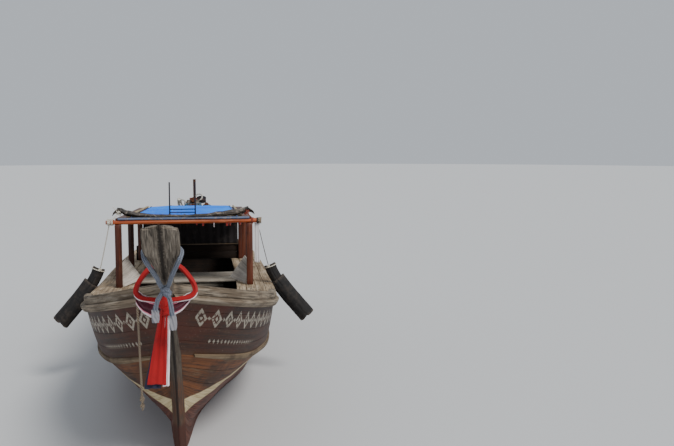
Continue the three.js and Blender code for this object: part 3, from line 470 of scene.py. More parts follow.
class Finish:
    """Builds one procedural material out of nodes."""

    def __init__(self, name, rough, metal=0.0, coat=0.0, sheen=0.0):
        self.material = bpy.data.materials.new(name)
        self.material.use_nodes = True
        self.tree = self.material.node_tree
        self.shader = self.tree.nodes["Principled BSDF"]
        self.set("Roughness", rough).set("Metallic", metal).set("Coat Weight", coat).set("Sheen Weight", sheen)
        self.chart, self.at = (self.value("TexCoord", output=source) for source in ("UV", "Object"))

    def put(self, socket, value):
        if isinstance(value, Value):
            self.tree.links.new(value.socket, socket)
        elif isinstance(value, tuple) and socket.type == "RGBA":
            socket.default_value = (*value, 1)
        else:
            socket.default_value = value

    def set(self, name, value):
        self.put(self.shader.inputs[name], value)
        return self

    def node(self, kind, inputs=(), **settings):
        node = self.tree.nodes.new("ShaderNode" + kind)
        for name, value in settings.items():
            setattr(node, name, value)
        for key, value in dict(inputs).items():
            self.put(node.inputs[key], value)
        return node

    def value(self, kind, inputs=(), output=0, **settings):
        return Value(self, self.node(kind, inputs, **settings).outputs[output])

    def maths(self, how, a, b=0.0, clamp=False):
        return self.value("Math", {0: a, 1: b}, operation=how, use_clamp=clamp)

    def attribute(self, name):
        return self.value("Attribute", output="Fac", attribute_name=name)

    def stretch(self, vector, scale, shift=(0, 0, 0)):
        return self.value("Mapping", {"Vector": vector, "Scale": scale, "Location": shift})

    def noise(self, vector, scale, detail=4.0, rough=.55, twist=0.0, shift=(0, 0, 0)):
        """Noise of one scale, or stretched by a scale for each axis."""
        if isinstance(scale, tuple):
            vector, scale = self.stretch(vector, scale, shift), 1.0
        return self.value("TexNoise", {"Vector": vector, "Scale": scale, "Detail": detail, "Roughness": rough,
                "Distortion": twist}, "Fac")

    def weave(self, scale):
        """Threads that cross each other."""
        return self.maths("MAXIMUM", *(self.value("TexWave", {"Vector": self.chart, "Scale": scale}, "Fac",
                wave_type="BANDS", bands_direction=way) for way in "XY"))

    def mix(self, share, a, b, how="MIX"):
        # A Mix node of colours takes its share at input 0, the two colours at 6 and 7
        return self.value("Mix", {0: share, 6: a, 7: b}, 2, data_type="RGBA", blend_type=how)

    def over(self, *layers):
        """Adds layers over the base colour: a share and a colour for each."""
        for share, colour in layers:
            base = Value(self, self.shader.inputs["Base Color"].links[0].from_socket)
            colour = srgb(*colour) if isinstance(colour, tuple) else colour
            self.set("Base Color", self.mix(share, base, colour))
        return self

    def bump(self, height, strength, distance):
        node = self.node("Bump", {"Height": height, "Strength": strength, "Distance": distance})
        previous = self.shader.inputs["Normal"]
        if previous.links:
            self.tree.links.new(previous.links[0].from_socket, node.inputs["Normal"])
        self.tree.links.new(node.outputs[0], previous)
        return self


def srgb(r, g, b):
    """The paint for a colour seen in soft daylight: a little deeper and stronger than it looks."""
    seen = [((v / 255 + .055) / 1.055) ** 2.4 for v in (r, g, b)]
    grey = .21 * seen[0] + .72 * seen[1] + .07 * seen[2]
    return tuple(.5 * (max(grey + (v - grey) * 1.08, .0005) / .5) ** 1.25 for v in seen)


CRACK, DIRT, RUST, GRIME = (.012, .009, .007), (.12, .10, .08), (.16, .055, .02), (.02, .018, .015)
TONE_SPREAD = .35


def wood(name, dark, light, rough, crack, patch, patch_share, bump, fade=None, fade_share=.4, coat=0.0,
         contrast=.16, lengthwise=False):
    """Old boards: fine grain, darker streaks and checks along it, blotches of weather and a tone for each board.

    The grain follows the piece's own map, or the boat's length where lengthwise is set.
    """
    finish = Finish(name, rough, 0, coat).set("Specular IOR Level", .3)
    at = finish.chart
    if lengthwise:
        x, y, z = finish.at.split()
        at = finish.value("CombineXYZ", {0: y, 1: x, 2: z})
    fine = finish.noise(at, (4, 230, 230), 4, .7)
    streak = finish.noise(at, (1.3, 70, 70), 4, .62, .12, (2, 1, 6))
    broad = finish.noise(at, (.5, 16, 16), 3, .55, .1, (5, 3, 2))
    figure = fine * .28 + streak * .44 + broad * .28
    colour = finish.mix(figure.ramp(.5 - contrast, .5 + contrast), srgb(*dark), srgb(*light))
    tone = finish.attribute("tone") * TONE_SPREAD + (1 - TONE_SPREAD / 2)
    colour = finish.mix(1.0, colour, finish.value("CombineColor", {0: tone, 1: tone, 2: tone}), "MULTIPLY")
    blotch = finish.noise(finish.at, 2.1, 6, .68)
    colour = finish.mix(blotch.ramp(.47, .62) * patch_share, colour, srgb(*patch))
    if fade:
        far = finish.noise(at, (1.8, 14, 14), 5, .7, .2, (3, 5, 1))
        colour = finish.mix(far.ramp(.50, .66) * fade_share, colour, srgb(*fade))
    gate = finish.noise(at, (1.5, 7, 7), 2, shift=(1, 8, 3)).ramp(.46, .58)
    check = finish.noise(at, (.9, 34, 34), 2, .5, shift=(7, 2, 4)).line(.020) * gate * crack
    finish.set("Base Color", finish.mix(check, colour, CRACK))
    finish.set("Roughness", finish.maths("ADD", rough - .12, streak * .24, True))
    return finish.bump(figure - check, bump, .003)


def level(finish, y, stops):
    """A height that changes along the boat: stops are (y, z)."""
    first, last = stops[0][0], stops[-1][0]
    share = finish.value("MapRange", {"Value": y, "From Min": first, "From Max": last})
    ramp = finish.node("ValToRGB", {0: share})
    points = ramp.color_ramp.elements
    while len(points) < len(stops):
        points.new(.5)
    for point, (place, height) in zip(points, stops):
        point.position = (place - first) / (last - first)
        point.color = (height, height, height, 1)
    return Value(finish, ramp.outputs[0])


def cloth(name, colour, sheen=.3, dirt=None, dirt_share=.25):
    """colour is what is seen, or a function that makes it."""
    finish = Finish(name, .85, 0, 0, sheen)
    soil = finish.noise(finish.at, 6, 6, .7)
    colour = colour(finish) if callable(colour) else srgb(*colour)
    finish.set("Base Color", finish.mix(soil.ramp(.5, .75) * dirt_share, colour, srgb(*dirt) if dirt else DIRT))
    return finish.bump(finish.weave(45.0) + soil * .6, .25, .0008)


def metal(name, colour, rough, metallic, rust_share, grime_share=.4, rust=None):
    finish = Finish(name, rough, metallic)
    spots = finish.noise(finish.at, 14, 8, .7)
    mask = (spots + finish.noise(finish.at, 3.5, 5, .6) * .5).ramp(.72, .92) * rust_share
    dirty = finish.noise(finish.at, 5, 6, .7, .5).ramp(.42, .70) * grime_share
    rusted = finish.mix(mask, srgb(*colour), srgb(*rust) if rust else RUST)
    finish.set("Base Color", finish.mix(dirty, rusted, GRIME)).set("Metallic", (1 - mask) * metallic)
    finish.set("Roughness", finish.maths("ADD", rough, spots * .35, True))
    return finish.bump(spots + mask * .5, .3, .0012)


def check_colour(finish):
    """Pale squares crossed by darker bands."""
    across, along = ((part * 130).zigzag().ramp(.15, .3) for part in finish.chart.split()[:2])
    return finish.mix((across + along) * .5, srgb(144, 149, 160), srgb(62, 68, 84))


def topside_finish():
    """Dark varnish, redder by the stem and barer further aft, with painted shade along its top edge under the rail
    and a worn painted border of lozenges and dots.
    """
    finish = wood("topside_wood", (33, 23, 18), (88, 61, 46), .7, .7, (78, 45, 33), .45, .5, (104, 84, 68),
                  .25, .03)
    at, rise = finish.at, finish.attribute("rise")
    red = at.split()[1].ramp(-4.4, -5.4) * finish.noise(at, 3, 5, .6).ramp(.35, .6)
    runs = finish.noise(at, (34, 34, 2.2), 4, .7).ramp(.60, .76)
    scratch = finish.noise(at, (110, 110, 2.6), 2, .5, shift=(2, 3, 5)).ramp(.70, .74)
    # head darkens the top of the topside towards (40, 28, 24): painted shade under the rail and the side deck's edge
    foot, head = rise.ramp(.12, 0), rise.ramp(.86, .98)
    return finish.over((red * .5, (102, 50, 34)), (runs * .4, (132, 104, 84)), (scratch * .5, (190, 172, 154)),
                       (foot * .4, (120, 92, 70)), (head * .6, (40, 28, 24)),
                       (border(finish) * .85, (178, 172, 160)))


def border(finish):
    """Where the painted border lies: a row of lozenges and a row of dots, flaked by the weather."""
    along, rise = finish.chart.split()[0], finish.attribute("rise")
    flaked = finish.noise(finish.stretch(finish.at, (1, 1, .4)), 34, 5, .75).ramp(.40, .50)
    wide, narrow = ((along / pitch).zigzag() for pitch in (.21, .075))

    def above(middle, half):
        return abs(rise - middle) / half

    def between(low, high):
        return along.ramp(low, low + .01) * along.ramp(high, high - .3)
    middle = .655
    outline = wide * 2.7 + above(middle, .155)
    ring = outline.ramp(1.04, .98) * outline.ramp(.52, .58)
    joint = (.5 - wide) * 9 + above(middle, .035)
    lozenges = ring.most(outline.ramp(.30, .24)).most(joint.ramp(1.1, .95)) * between(.24, 2.6)
    dots = (narrow * 3.4 + above(.27, .045)).ramp(1.05, .9) * between(.45, 1.7)
    return lozenges.most(dots) * flaked


# Top and foot of the pale stripe at the waterline: y, z
STRIPE_TOP = [(-4.70, .655), (-4.45, .665), (-4.00, .660), (-3.65, .700), (-3.0, .640), (-2.3, .575), (-1.0, .500),
              (.5, .455), (2.2, .430), (4.4, .420)]
STRIPE_FOOT = [(-4.70, .40), (-4.54, .455), (-4.44, .540), (-4.20, .560), (-3.98, .615), (-3.5, .650), (-2.3, .535),
               (-1.0, .462), (1.5, .405), (4.4, .385)]


def lower_finish():
    """Oiled orange-brown planks over a pale stripe, and worn red-brown paint below it."""
    finish = wood("lower_plank_wood", (60, 42, 32), (138, 94, 62), .7, .9, (62, 44, 34), .6, .5, (124, 108, 88),
                  .45, .04)
    at, chart = finish.at, finish.chart
    y, z = at.split()[1:]
    height = z + (finish.noise(at, 9, 5, .7) - .5) * .03
    top, foot = (height - level(finish, y, stops) for stops in (STRIPE_TOP, STRIPE_FOOT))
    grain = finish.noise(chart, (2, 60, 1), 4, .6)
    paint = finish.mix(grain.ramp(.35, .65), srgb(74, 44, 37), srgb(124, 82, 68))
    stripe = finish.mix(grain.ramp(.35, .6), srgb(176, 160, 128), srgb(206, 194, 164))
    stain = finish.noise(at, (4, 4, 9), 5, .7).ramp(.55, .7)
    dark = finish.noise(chart, (3, 26, 1), 4, .65, shift=(4, 1, 2)).ramp(.60, .72)
    return finish.over((top.ramp(.004, -.004), stripe), (foot.ramp(.004, -.004), paint),
                       (stain * .45, (60, 52, 44)), (dark * top.ramp(-.01, .03) * .6, (44, 32, 26)))


def stem_finish():
    """Grey weathered wood with a rotten line down the head, painted shade that darkens it below the head, and a dark
    leading edge below.
    """
    finish = wood("weathered_stem_wood", (66, 60, 54), (150, 141, 130), .88, .9, (84, 72, 60), .35, .8,
                  (170, 163, 152), .3, contrast=.13)
    x, _, z = finish.at.split()
    fine = finish.noise(finish.at, (170, 9, 6), 5, .65, .3)
    ragged = finish.noise(finish.at, (60, 60, 14), 4, .7) * .040
    rot = (abs(x + .014) + ragged).ramp(.048, .026) * z.ramp(1.98, 2.06)
    brown = z.ramp(1.05, .80) * fine.ramp(.62, .42)
    edge = abs(x).ramp(.013, .008) * z.ramp(1.9, 1.8)
    # The mix towards (60, 48, 38) below the head, z.ramp(1.85, 1.5), is painted shade on the stem's flanks
    return finish.over((fine.ramp(.50, .60) * .45, (62, 56, 50)), (fine.ramp(.46, .38) * .30, (186, 178, 166)),
                       (rot * .9, (36, 27, 20)), (z.ramp(1.85, 1.5) * .6, (60, 48, 38)),
                       (brown * .7, (108, 70, 46)), (edge * .8, (34, 24, 22)),
                       (z.ramp(.42, .34) * .8, (84, 52, 44)))


def tarp_finish(name, dark, light, dull=False):
    finish = Finish(name, .55 if dull else .7)
    if not dull:
        finish.set("Specular IOR Level", .12)
    dark, light = srgb(*dark), srgb(*light)
    crossing = finish.noise(finish.stretch(finish.chart, (1, 1, 1), (4, 9, 0)), 9, 3, .5, .8).line(.025)
    creases = finish.noise(finish.chart, 5, 3, .5, .6).line(.03).most(crossing * .7)
    shade = finish.noise(finish.at, 3.2 if dull else 1.3, 5, .5)
    colour = finish.mix(shade.ramp(.35, .65) if dull else shade.ramp(.25, .75), dark, light)
    if dull:
        colour = finish.mix(shade.ramp(.3, .7) * .6, colour, dark)
    pale = srgb(168, 158, 148) if dull else srgb(190, 224, 246)
    colour = finish.mix(creases * (.5 if dull else .14), colour, pale)
    soil = finish.noise(finish.at, 9, 7, .7).ramp(.55, .75)
    finish.set("Base Color", finish.mix(soil * (.3 if dull else .16), colour, srgb(110, 100, 86)))
    finish.bump(finish.weave(60.0), .15, .0006)
    return finish.bump(creases + shade * .8, .5, .006)


def rubber_finish():
    finish = Finish("tyre_rubber", .8)
    dust = finish.noise(finish.at, 11, 7, .7).ramp(.45, .7)
    worn = finish.value("NewGeometry", output="Pointiness").ramp(.51, .58)
    colour = finish.mix(dust * .4, srgb(28, 25, 26), srgb(88, 78, 70))
    finish.set("Base Color", finish.mix(worn * .4, colour, srgb(120, 108, 98)))
    finish.bump((finish.chart.split()[0] * 22).zigzag().ramp(.1, .16), .5, .004)
    return finish.bump(finish.noise(finish.at, 60, 4), .2, .001)


def rope_finish(name, dark, light):
    finish = Finish(name, .9)
    along, across = finish.chart.split()[:2]
    strand = (along * 46 + across * 53).zigzag()
    fuzz = finish.noise(finish.chart, (60, 400, 1), 4)
    finish.set("Base Color", finish.mix((strand + fuzz * .4).ramp(.25, .65), srgb(*light), srgb(*dark)))
    return finish.bump(fuzz * .3 - strand, .8, .003)


# Finishes by the function that makes them; a row holds its arguments
FINISHES = {
    wood: {
        "rail": ("weathered_rail_wood", (78, 70, 60), (164, 152, 136), .88, 1, (96, 82, 68), .5, .9, (186, 178, 166),
                 .35, 0, .13),
        "strake": ("strake_wood", (84, 70, 56), (160, 144, 122), .85, .8, (70, 54, 44), .6, .7),
        "deck": ("side_deck_wood", (116, 102, 84), (196, 180, 158), .85, .8, (108, 88, 70), .5, .7, (208, 198, 182),
                 .4, 0, .13),
        # inner and inner_y colour the wood inside the hull near-black: painted shade under the canopy and the roof
        "inner": ("inside_wood", (22, 17, 14), (58, 44, 34), .85, .5, (18, 14, 12), .6, .5),
        "sole": ("sole_wood", (44, 37, 31), (108, 94, 78), .88, .8, (40, 32, 26), .5, .6, (128, 116, 100)),
        "inner_y": ("frame_wood", (26, 20, 16), (64, 50, 38), .85, .4, (20, 15, 12), .6, .5, None, 0, 0, .16, True),
        "board": ("pale_board_wood", (112, 106, 98), (186, 180, 170), .85, .6, (110, 98, 86), .4, .5,
                  (206, 202, 194)),
        "pale_board": ("scrubbed_board_wood", (158, 152, 145), (214, 208, 200), .85, .5, (176, 168, 158), .4, .5,
                       (222, 220, 214)),
        "bench": ("bench_wood", (54, 46, 38), (112, 98, 82), .85, .6, (44, 36, 30), .5, .5),
        "post": ("varnished_post_wood", (58, 30, 22), (116, 68, 50), .55, .4, (50, 32, 26), .5, .35, (134, 98, 78),
                 .3, .15),
        "pole": ("varnished_pole_wood", (132, 66, 40), (188, 112, 76), .45, .3, (112, 62, 46), .5, .3,
                 (206, 158, 128), .3, .3),
        "roof": ("roof_board_wood", (62, 36, 24), (120, 76, 50), .6, .3, (50, 34, 26), .5, .4, None, 0, .1),
        "bamboo": ("bamboo_pole", (160, 138, 100), (206, 190, 150), .6, .4, (120, 100, 70), .4, .3, None, 0, .1),
        "bottom": ("bottom_wood", (70, 40, 34), (120, 76, 62), .7, .5, (84, 74, 62), .5, .4, (140, 120, 104), .25),
    },
    stem_finish: {"stem": ()},
    topside_finish: {"topside": ()},
    lower_finish: {"lower": ()},
    rubber_finish: {"rubber": ()},
    tarp_finish: {
        "blue": ("blue_tarpaulin", (6, 122, 228), (22, 162, 250)),
        "black": ("black_tarpaulin", (22, 20, 20), (112, 104, 98), True),
        "edge_cloth": ("roof_edge_cloth", (66, 78, 104), (134, 146, 170), True),
    },
    cloth: {
        # The rear curtain's cloth is near-black: painted shade at the back of the canopy
        "dark_cloth": ("dark_curtain_cloth", (34, 26, 28), .1, None, .4),
        "curtain": ("pale_curtain_cloth", (206, 204, 206), .3, (150, 140, 130), .5),
        "check": ("checked_cloth", check_colour, .2, None, .15),
        "red": ("red_cloth", (158, 0, 26), .08, (84, 4, 22), .45),
        "faded_red": ("faded_red_cloth", (170, 62, 52), .3, (90, 40, 36), .5),
        "white": ("white_cloth", (230, 220, 222), .3, (160, 140, 140), .35),
        "grey_cloth": ("pale_grey_cloth", (146, 145, 150), .05, (100, 98, 106), .5),
        "navy": ("navy_cloth", (22, 26, 62), .3, None, .2),
        "maroon": ("maroon_cloth", (92, 20, 48), .3, (40, 10, 26), .5),
        "pink": ("pink_cloth", (226, 150, 166), .3, (150, 70, 90), .4),
    },
    rope_finish: {
        "rope": ("hemp_rope", (96, 84, 72), (176, 162, 144)),
        "white_rope": ("pale_rope", (150, 144, 134), (226, 222, 212)),
        "cord": ("dark_line", (38, 32, 28), (86, 72, 60)),
        "black_line": ("black_line", (20, 18, 18), (52, 46, 44)),
        "red_line": ("reddish_line", (96, 40, 34), (170, 96, 78)),
    },
    metal: {
        "black_steel": ("black_painted_steel", (26, 26, 44), .45, .2, .35),
        "paint": ("engine_paint", (60, 96, 112), .45, .1, .55, .75),
        "red_paint": ("faded_red_paint", (126, 52, 46), .5, .1, .5, .6),
        "head": ("engine_casting", (128, 128, 124), .5, .75, .4, .6),
        "rust": ("rusty_steel", (98, 62, 44), .7, .5, .9, .5),
        "zinc": ("galvanised_steel", (158, 160, 160), .42, .9, .45, .35),
        "bronze": ("worn_bronze", (150, 116, 74), .42, .9, .7, .6, (74, 104, 88)),
        "bright": ("white_painted_metal", (206, 206, 200), .4, .2, .4, .4),
        "belt": ("rubber_belt", (22, 22, 22), .7, 0, 0, .3),
        "bolt": ("bolt_steel", (70, 56, 46), .6, .6, .7),
    },
}
FINISH = {key: make(*row) for make, rows in FINISHES.items() for key, row in rows.items()}


# Camera, light and floor

def make_camera():
    data = bpy.data.cameras.new("camera")
    data.sensor_width = SENSOR_WIDTH
    data.lens = FOCAL_PIXELS / IMAGE_WIDTH * SENSOR_WIDTH
    data.clip_end = 500.0
    camera = add("camera", data)
    camera.location = CAMERA_PLACE
    camera.rotation_euler = (radians(90 - CAMERA_PITCH), 0, radians(-CAMERA_HEADING))
    bpy.context.scene.camera = camera


def waterline():
    """Outline of the hull at the floor's level, a little inside its outer face."""
    side = []
    for i in range(COUNT):
        lines = [OUTER[name][i] for name in NAMES]
        for a, b in zip(lines, lines[1:]):
            if a.z <= 0 < b.z:
                p = a.lerp(b, -a.z / (b.z - a.z))
                side.append(Vector((max(p.x - WATERLINE_INSET, .004), p.y, 0)))
                break
    side = [Vector((.004, side[0].y - .04, 0)), *side]
    return side + [Vector((-p.x, p.y, 0)) for p in reversed(side)]


def make_stage():
    # The floor lies at the water's level, with an opening inside the hull, whose bottom lies deeper
    near = waterline()
    far = [p.normalized() * FLOOR_REACH for p in near]
    count = len(near)
    ground = bpy.data.meshes.new("floor")
    ground.from_pydata([tuple(p) for p in near + far], [], [
        (i, (i + 1) % count, count + (i + 1) % count, count + i) for i in range(count)])
    floor = add("floor", ground)
    ground.materials.append(Finish("studio_floor", .7).set("Base Color", FLOOR_COLOUR).material)
    world = bpy.data.worlds.new("world")
    bpy.context.scene.world = world
    world.use_nodes = True
    back = world.node_tree.nodes["Background"]
    back.inputs[0].default_value = SKY_COLOUR
    back.inputs[1].default_value = SKY_POWER
    sun = add("sun", bpy.data.lights.new("sun", "SUN"))
    sun.data.energy = SUN_POWER
    sun.data.angle = radians(SUN_WIDTH)
    sun.data.color = SUN_COLOUR
    sun.rotation_euler = [radians(turn) for turn in SUN_TURN]


# Pieces: hull


COUNT = (STATIONS - 1) * FINER + 1
OUTER = {name: [spline(rows, i / (COUNT - 1)) for i in range(COUNT)] for name, rows in HULL_LINES.items()}


def inward(low, high, i):
    a, b = OUTER[low], OUTER[high]
    before, after = max(i - 1, 0), min(i + 1, COUNT - 1)
    along = (a[after] + b[after]) / 2 - (a[before] + b[before]) / 2
    return (b[i] - a[i]).cross(along).normalized()


def inner_lines():
    found = {name: [] for name in NAMES}
    for i in range(COUNT):
        for k, name in enumerate(NAMES):
            below = inward(NAMES[k - 1], name, i) if k else None
            above = inward(name, NAMES[k + 1], i) if k < 3 else None
            m, n = below or above, above or below
            offset = (m + n) * (PLANK / (1 + m.dot(n)))
            if name == "sheer":
                found[name].append(OUTER[name][i] - Vector((min(-PLANK / m.x, 2 * PLANK), 0, 0)))
            else:
                found[name].append(OUTER[name][i] + offset)
    return found


INNER = inner_lines()


def at(line, y):
    k = next((i for i, p in enumerate(line) if p.y >= y), len(line) - 1)
    k = max(1, k)
    a, b = line[k - 1], line[k]
    return a.lerp(b, (y - a.y) / (b.y - a.y))


def sheer_run(start, end):
    middle = [p for p in OUTER["sheer"] if start + .02 < p.y < end - .02]
    return [at(OUTER["sheer"], start), *middle, at(OUTER["sheer"], end)]


def hull_side(name, finish, slot):
    low, high, planks, bulge = PANELS[name]
    tones = [dice.random() for _ in range(planks)]
    spans = [(k / planks, (k + 1) / planks) for k in range(planks)]
    rings, rises = [], []
    for i in range(COUNT):
        a, b = OUTER[low][i], OUTER[high][i]
        c, d = INNER[high][i], INNER[low][i]
        out = -inward(low, high, i)
        gap = SEAM_HALF / max((b - a).length, .05)
        fullness = min(1, i / 12)
        ring, shares = [], []
        for k, (s0, s1) in enumerate(spans):
            for s, depth in ((s0, SEAM_DEPTH if k else 0), (s0 + gap, 0), ((s0 + s1) / 2, -.0015), (s1 - gap, 0)):
                ring.append(a.lerp(b, s) + out * (bulge * fullness * 4 * s * (1 - s) - depth))
                shares.append(s)
        ring.append(b)
        rises = rises or shares + [1.0]
        for k, (s0, s1) in enumerate(spans):
            for s, depth in ((s0, 0 if k == 0 else .003), (s0 + gap, 0), (s1 - gap, 0)):
                ring.append(c.lerp(d, s) + out * depth)
        rings.append([*ring, d])
    per_face = [tones[j // 4] for j in range(planks * 4)]
    per_face += [tones[0]] + [tones[planks - 1 - j // 3] for j in range(planks * 3)] + [tones[0]]
    marks = [0] * (planks * 4) + [1] * (planks * 3 + 2)
    rises += [0.0] * (len(rings[0]) - len(rises))
    shape = Shape().loft(rings, tone=0, tones=per_face, marks=marks, rises=rises)
    # The planks' inner faces take the inner finish, whose near-black colour is painted shade
    pair(shape, f"planked_{name}", (finish, "inner"), slot, name, 30, ())


def stem_ring(half, setback, depth, back):
    """Half outline of the stem square to its leading edge, round the front ridge, the cheeks and the back."""
    pairs = [(half * s, setback * (s ** 1.15)) for s in (.03, .09, .2, .34, .5, .66, .82, .93, 1)]
    pairs += [(half * .985, setback + .004), (half, setback + .010), (half * .99, setback + .024)]
    for s in (.15, .4, .7, .92, .985):
        pairs.append((half * .99 + (back - half * .99) * s, setback + .024 + (depth - setback - .024) * s))
    return pairs + [(back * .9, depth), (back * .4, depth + .001)]


def lean(z):
    """How far the stem's head stands out of true."""
    t = min(1, max(0, (z - LEAN_START) / LEAN_RISE))
    return LEAN * t * t * (3 - 2 * t)


def make_stem():
    steps = 150
    rings = []
    rows = [rows_at(STEM, i / steps) for i in range(steps + 1)]
    for i, (y, z, half, setback, depth, rear, drop) in enumerate(rows):
        ahead, behind = rows[min(i + 1, steps)], rows[max(i - 1, 0)]
        down = Vector((0, ahead[0] - behind[0], ahead[1] - behind[1])).normalized()
        back = Vector((0, -down.z, down.y))
        right = stem_ring(half, setback, depth, rear)
        middle = Vector((0, y, z))
        ring = []
        for side, pairs in ((1, right), (-1, list(reversed(right)))):
            for x, inset in pairs:
                fall = drop * min(1, abs(x) / max(half, .01))
                grain = wobble(3, x * side * 90, z * 1.4) * .0022 + wobble(5, x * side * 36, z * .7) * .002
                rough = .0
                if z > 1.92 and abs(x) < .03:
                    rough = .006 * (1 - abs(x) / .03) * (.55 + .9 * wobble(8, side * x * 50, z * 16))
                if i in (0, steps):
                    grain = rough = 0
                p = middle + back * (inset + max(rough, -.002) + max(grain, -.0018)) + down * fall
                ring.append(p + Vector((side * x + lean(p.z), 0, 0)))
        rings.append(ring)
    # The head's top end is softened by drawing in its first rings
    for k, pull in enumerate((.90, .97)):
        centre = sum(rings[k], Vector()) / len(rings[k])
        rings[k] = [centre.lerp(p, pull) for p in rings[k]]
    shape = Shape().loft(rings, tone=.5)
    ball(shape, (lean(2.4), -6.797, 2.476), (.021, .019, .022), 8, 12, .3, 4)
    shape.build("carved_stem", "boat", "stem", "weathered_wood", ["stem_post"], 32)


def make_keel_and_transom():
    shape = Shape()
    rows = [p for p in OUTER["keel"][::2] if p.y > -3.91]
    rings = []
    for p in [Vector((0, -3.95, at(OUTER["keel"], -3.95).z)), *rows]:
        z = p.z
        rings.append(section(p.y, (-.039, z - .060), (.039, z - .060), (.045, z - .052), (.045, z + .070),
                             (-.045, z + .070), (-.045, z - .052)))
    shape.loft(rings, tone=.4)
    shape.build("keel_timber", "boat", "bottom", "dark_varnished_wood", ["keel"])
    shape = Shape()
    i = COUNT - 1
    half = [OUTER[name][i] for name in NAMES]
    levels = 9
    low, high = half[0].z, half[3].z
    points = [(p.x, p.z) for p in half]
    for k in range(levels):
        z0, z1 = low + (high - low) * k / levels, low + (high - low) * (k + 1) / levels
        widths = []
        for z in (z0 + .0015, z1 - .0015):
            spot = next((j for j in range(1, 4) if points[j][1] >= z), 3)
            (xa, za), (xb, zb) = points[spot - 1], points[spot]
            widths.append(xa + (xb - xa) * (z - za) / (zb - za))
        for mark, layers in ((1, ((.001, .004), (.005, 0), (.0195, 0))),
                             (0, ((.0200, 0), (.035, 0), (.039, .004)))):
            rings = []
            for y, pull in layers:
                x0, x1 = widths[0] - pull, widths[1] - pull
                foot, top = z0 + .0015 + pull, z1 - .0015 - pull
                rings.append(section(TRANSOM_Y + y, (-x0, foot), (x0, foot), (x1, top), (-x1, top)))
            shape.loft(rings, mark=mark)
    # The transom's inner face takes the inner finish, whose near-black colour is painted shade
    shape.build("planked_transom", "boat", ["lower", "inner"], "dark_varnished_wood", ["transom"])


def make_strakes():
    rings = []
    for i in range(FINER, COUNT):
        seam = OUTER["strake"][i]
        up = (OUTER["sheer"][i] - seam).normalized()
        down = (OUTER["bilge"][i] - seam).normalized()
        m, n = inward("strake", "sheer", i), inward("bilge", "strake", i)
        mitre = (m + n) / (1 + m.dot(n))
        half = .014 + .028 * min(1, i / (4 * FINER))
        top, low = seam + up * half, seam + down * half
        rough = .0015 * wobble(21, i * .35)
        ring = [top + m * -.001, seam + mitre * -.0003, low + n * -.002]
        for base, normal, share in ((low, n, .35), (low.lerp(seam, .25), n, .62), (seam.lerp(low, .5), n, .85),
                                    (seam, mitre, .97), (seam.lerp(top, .5), m, .95), (seam.lerp(top, .85), m, .82),
                                    (top, m, .45)):
            ring.append(base - normal * (.026 * share + rough))
        rings.append(ring)
    pair(Shape().loft(rings, tone=.3), "rubbing_strake", "strake", "strake_wood", "lower_strake", 45, ())


def make_rails():
    line = OUTER["sheer"]
    rows, rings = [], []
    for i, top in enumerate(line):
        if top.y > RAIL_END - .03:
            break
        rows.append((top, (OUTER["strake"][i] - top).normalized(), -inward("strake", "sheer", i)))
    for k, (top, down, out) in enumerate(rows):
        taper = (.97, .86, .6)[k - len(rows) + 3] if k >= len(rows) - 3 else 1.0
        wave = .0016 * wobble(31, top.y * 3)
        profile = [(0, CLEAR), (RAIL_HEIGHT, .0024)]
        profile += [(RAIL_HEIGHT * drop, RAIL_PROUD * far * taper)
                    for drop, far in ((1, .62), (.93, .72), (.6, .86), (.25, .96), (.06, .96))]
        profile.append((-.0005, RAIL_PROUD * .88 * taper))
        rings.append([top + down * drop + out * (far + wave) for drop, far in profile])
    pair(Shape().loft(rings, tone=.6), "bow_rub_rail", "rail", "weathered_wood", "rub_rail", 45)
    rings = []
    for p in sheer_run(line[0].y, CAP_END):
        wave = .002 * wobble(35, p.y * 2.2)
        x0, x1, z0, z1 = p.x + .014, p.x - CAP_WIDTH, p.z + CLEAR, p.z + CAP_HEIGHT + wave
        rings.append(section(p.y, (x1, z0), (x0 - .004, z0), (x0, z0 + .005), (x0, z1 - .010),
                             (x0 - .003, z1 - .003), (x0 - .010, z1), (x1 + .010, z1), (x1 + .003, z1 - .003),
                             (x1, z1 - .010)))
    pair(Shape().loft(rings, tone=.2), "bow_cap_rail", "rail", "weathered_wood", "cap_rail", 45)


def make_decks():
    shape = Shape()
    strips = 4
    stations = sheer_run(DECK_FORE, TRANSOM_Y - .001)
    width = (DECK_OVERHANG + DECK_WIDTH) / strips
    for k in range(strips):
        start, stop = -DECK_OVERHANG + k * width + .002, -DECK_OVERHANG + (k + 1) * width - .002
        seed = dice.random() * 40
        rings = []
        for p in stations:
            wave = .0015 * wobble(seed, p.y * 2.5)
            a, b = p.x - start, p.x - stop
            z0, z1 = p.z + .0006, p.z + DECK_THICK + wave
            rings.append(section(p.y, (b, z0), (a, z0), (a, z1 - .006), (a - .002, z1 - .002), (a - .007, z1),
                                 (b + .007, z1), (b + .002, z1 - .002), (b, z1 - .006)))
        shape.loft(rings)
    pair(shape, "side_deck_boards", "deck", "deck_wood", "side_deck")
    shape = Shape()
    rows = sheer_run(-5.640, -5.020)
    planks = 6
    for k in range(planks):
        rings = []
        for p in rows:
            half = p.x - CAP_WIDTH - .004
            x0 = -half + 2 * half * k / planks + .0015
            x1 = -half + 2 * half * (k + 1) / planks - .0015
            z0, z1 = p.z + .0006, p.z + .024
            rings.append(section(p.y, (x0, z0), (x1, z0), (x1, z1 - .003), (x1 - .003, z1), (x0 + .003, z1),
                                 (x0, z1 - .003)))
        shape.loft(rings)
    shape.build("fore_deck_boards", "boat", "deck", "inner_wood", ["fore_deck"])


def room_at(y, z):
    """Half-breadth inside the planking."""
    wall = []
    for low, high in zip(NAMES, NAMES[1:]):
        a, b = at(INNER[low], y), at(INNER[high], y)
        wall += [a, a.lerp(b, .33), a.lerp(b, .66)]
    wall.append(at(INNER["sheer"], y))
    k = next((i for i in range(1, len(wall)) if wall[i].z >= z), len(wall) - 1)
    a, b = wall[k - 1], wall[k]
    return a.x + (b.x - a.x) * (z - a.z) / (b.z - a.z)


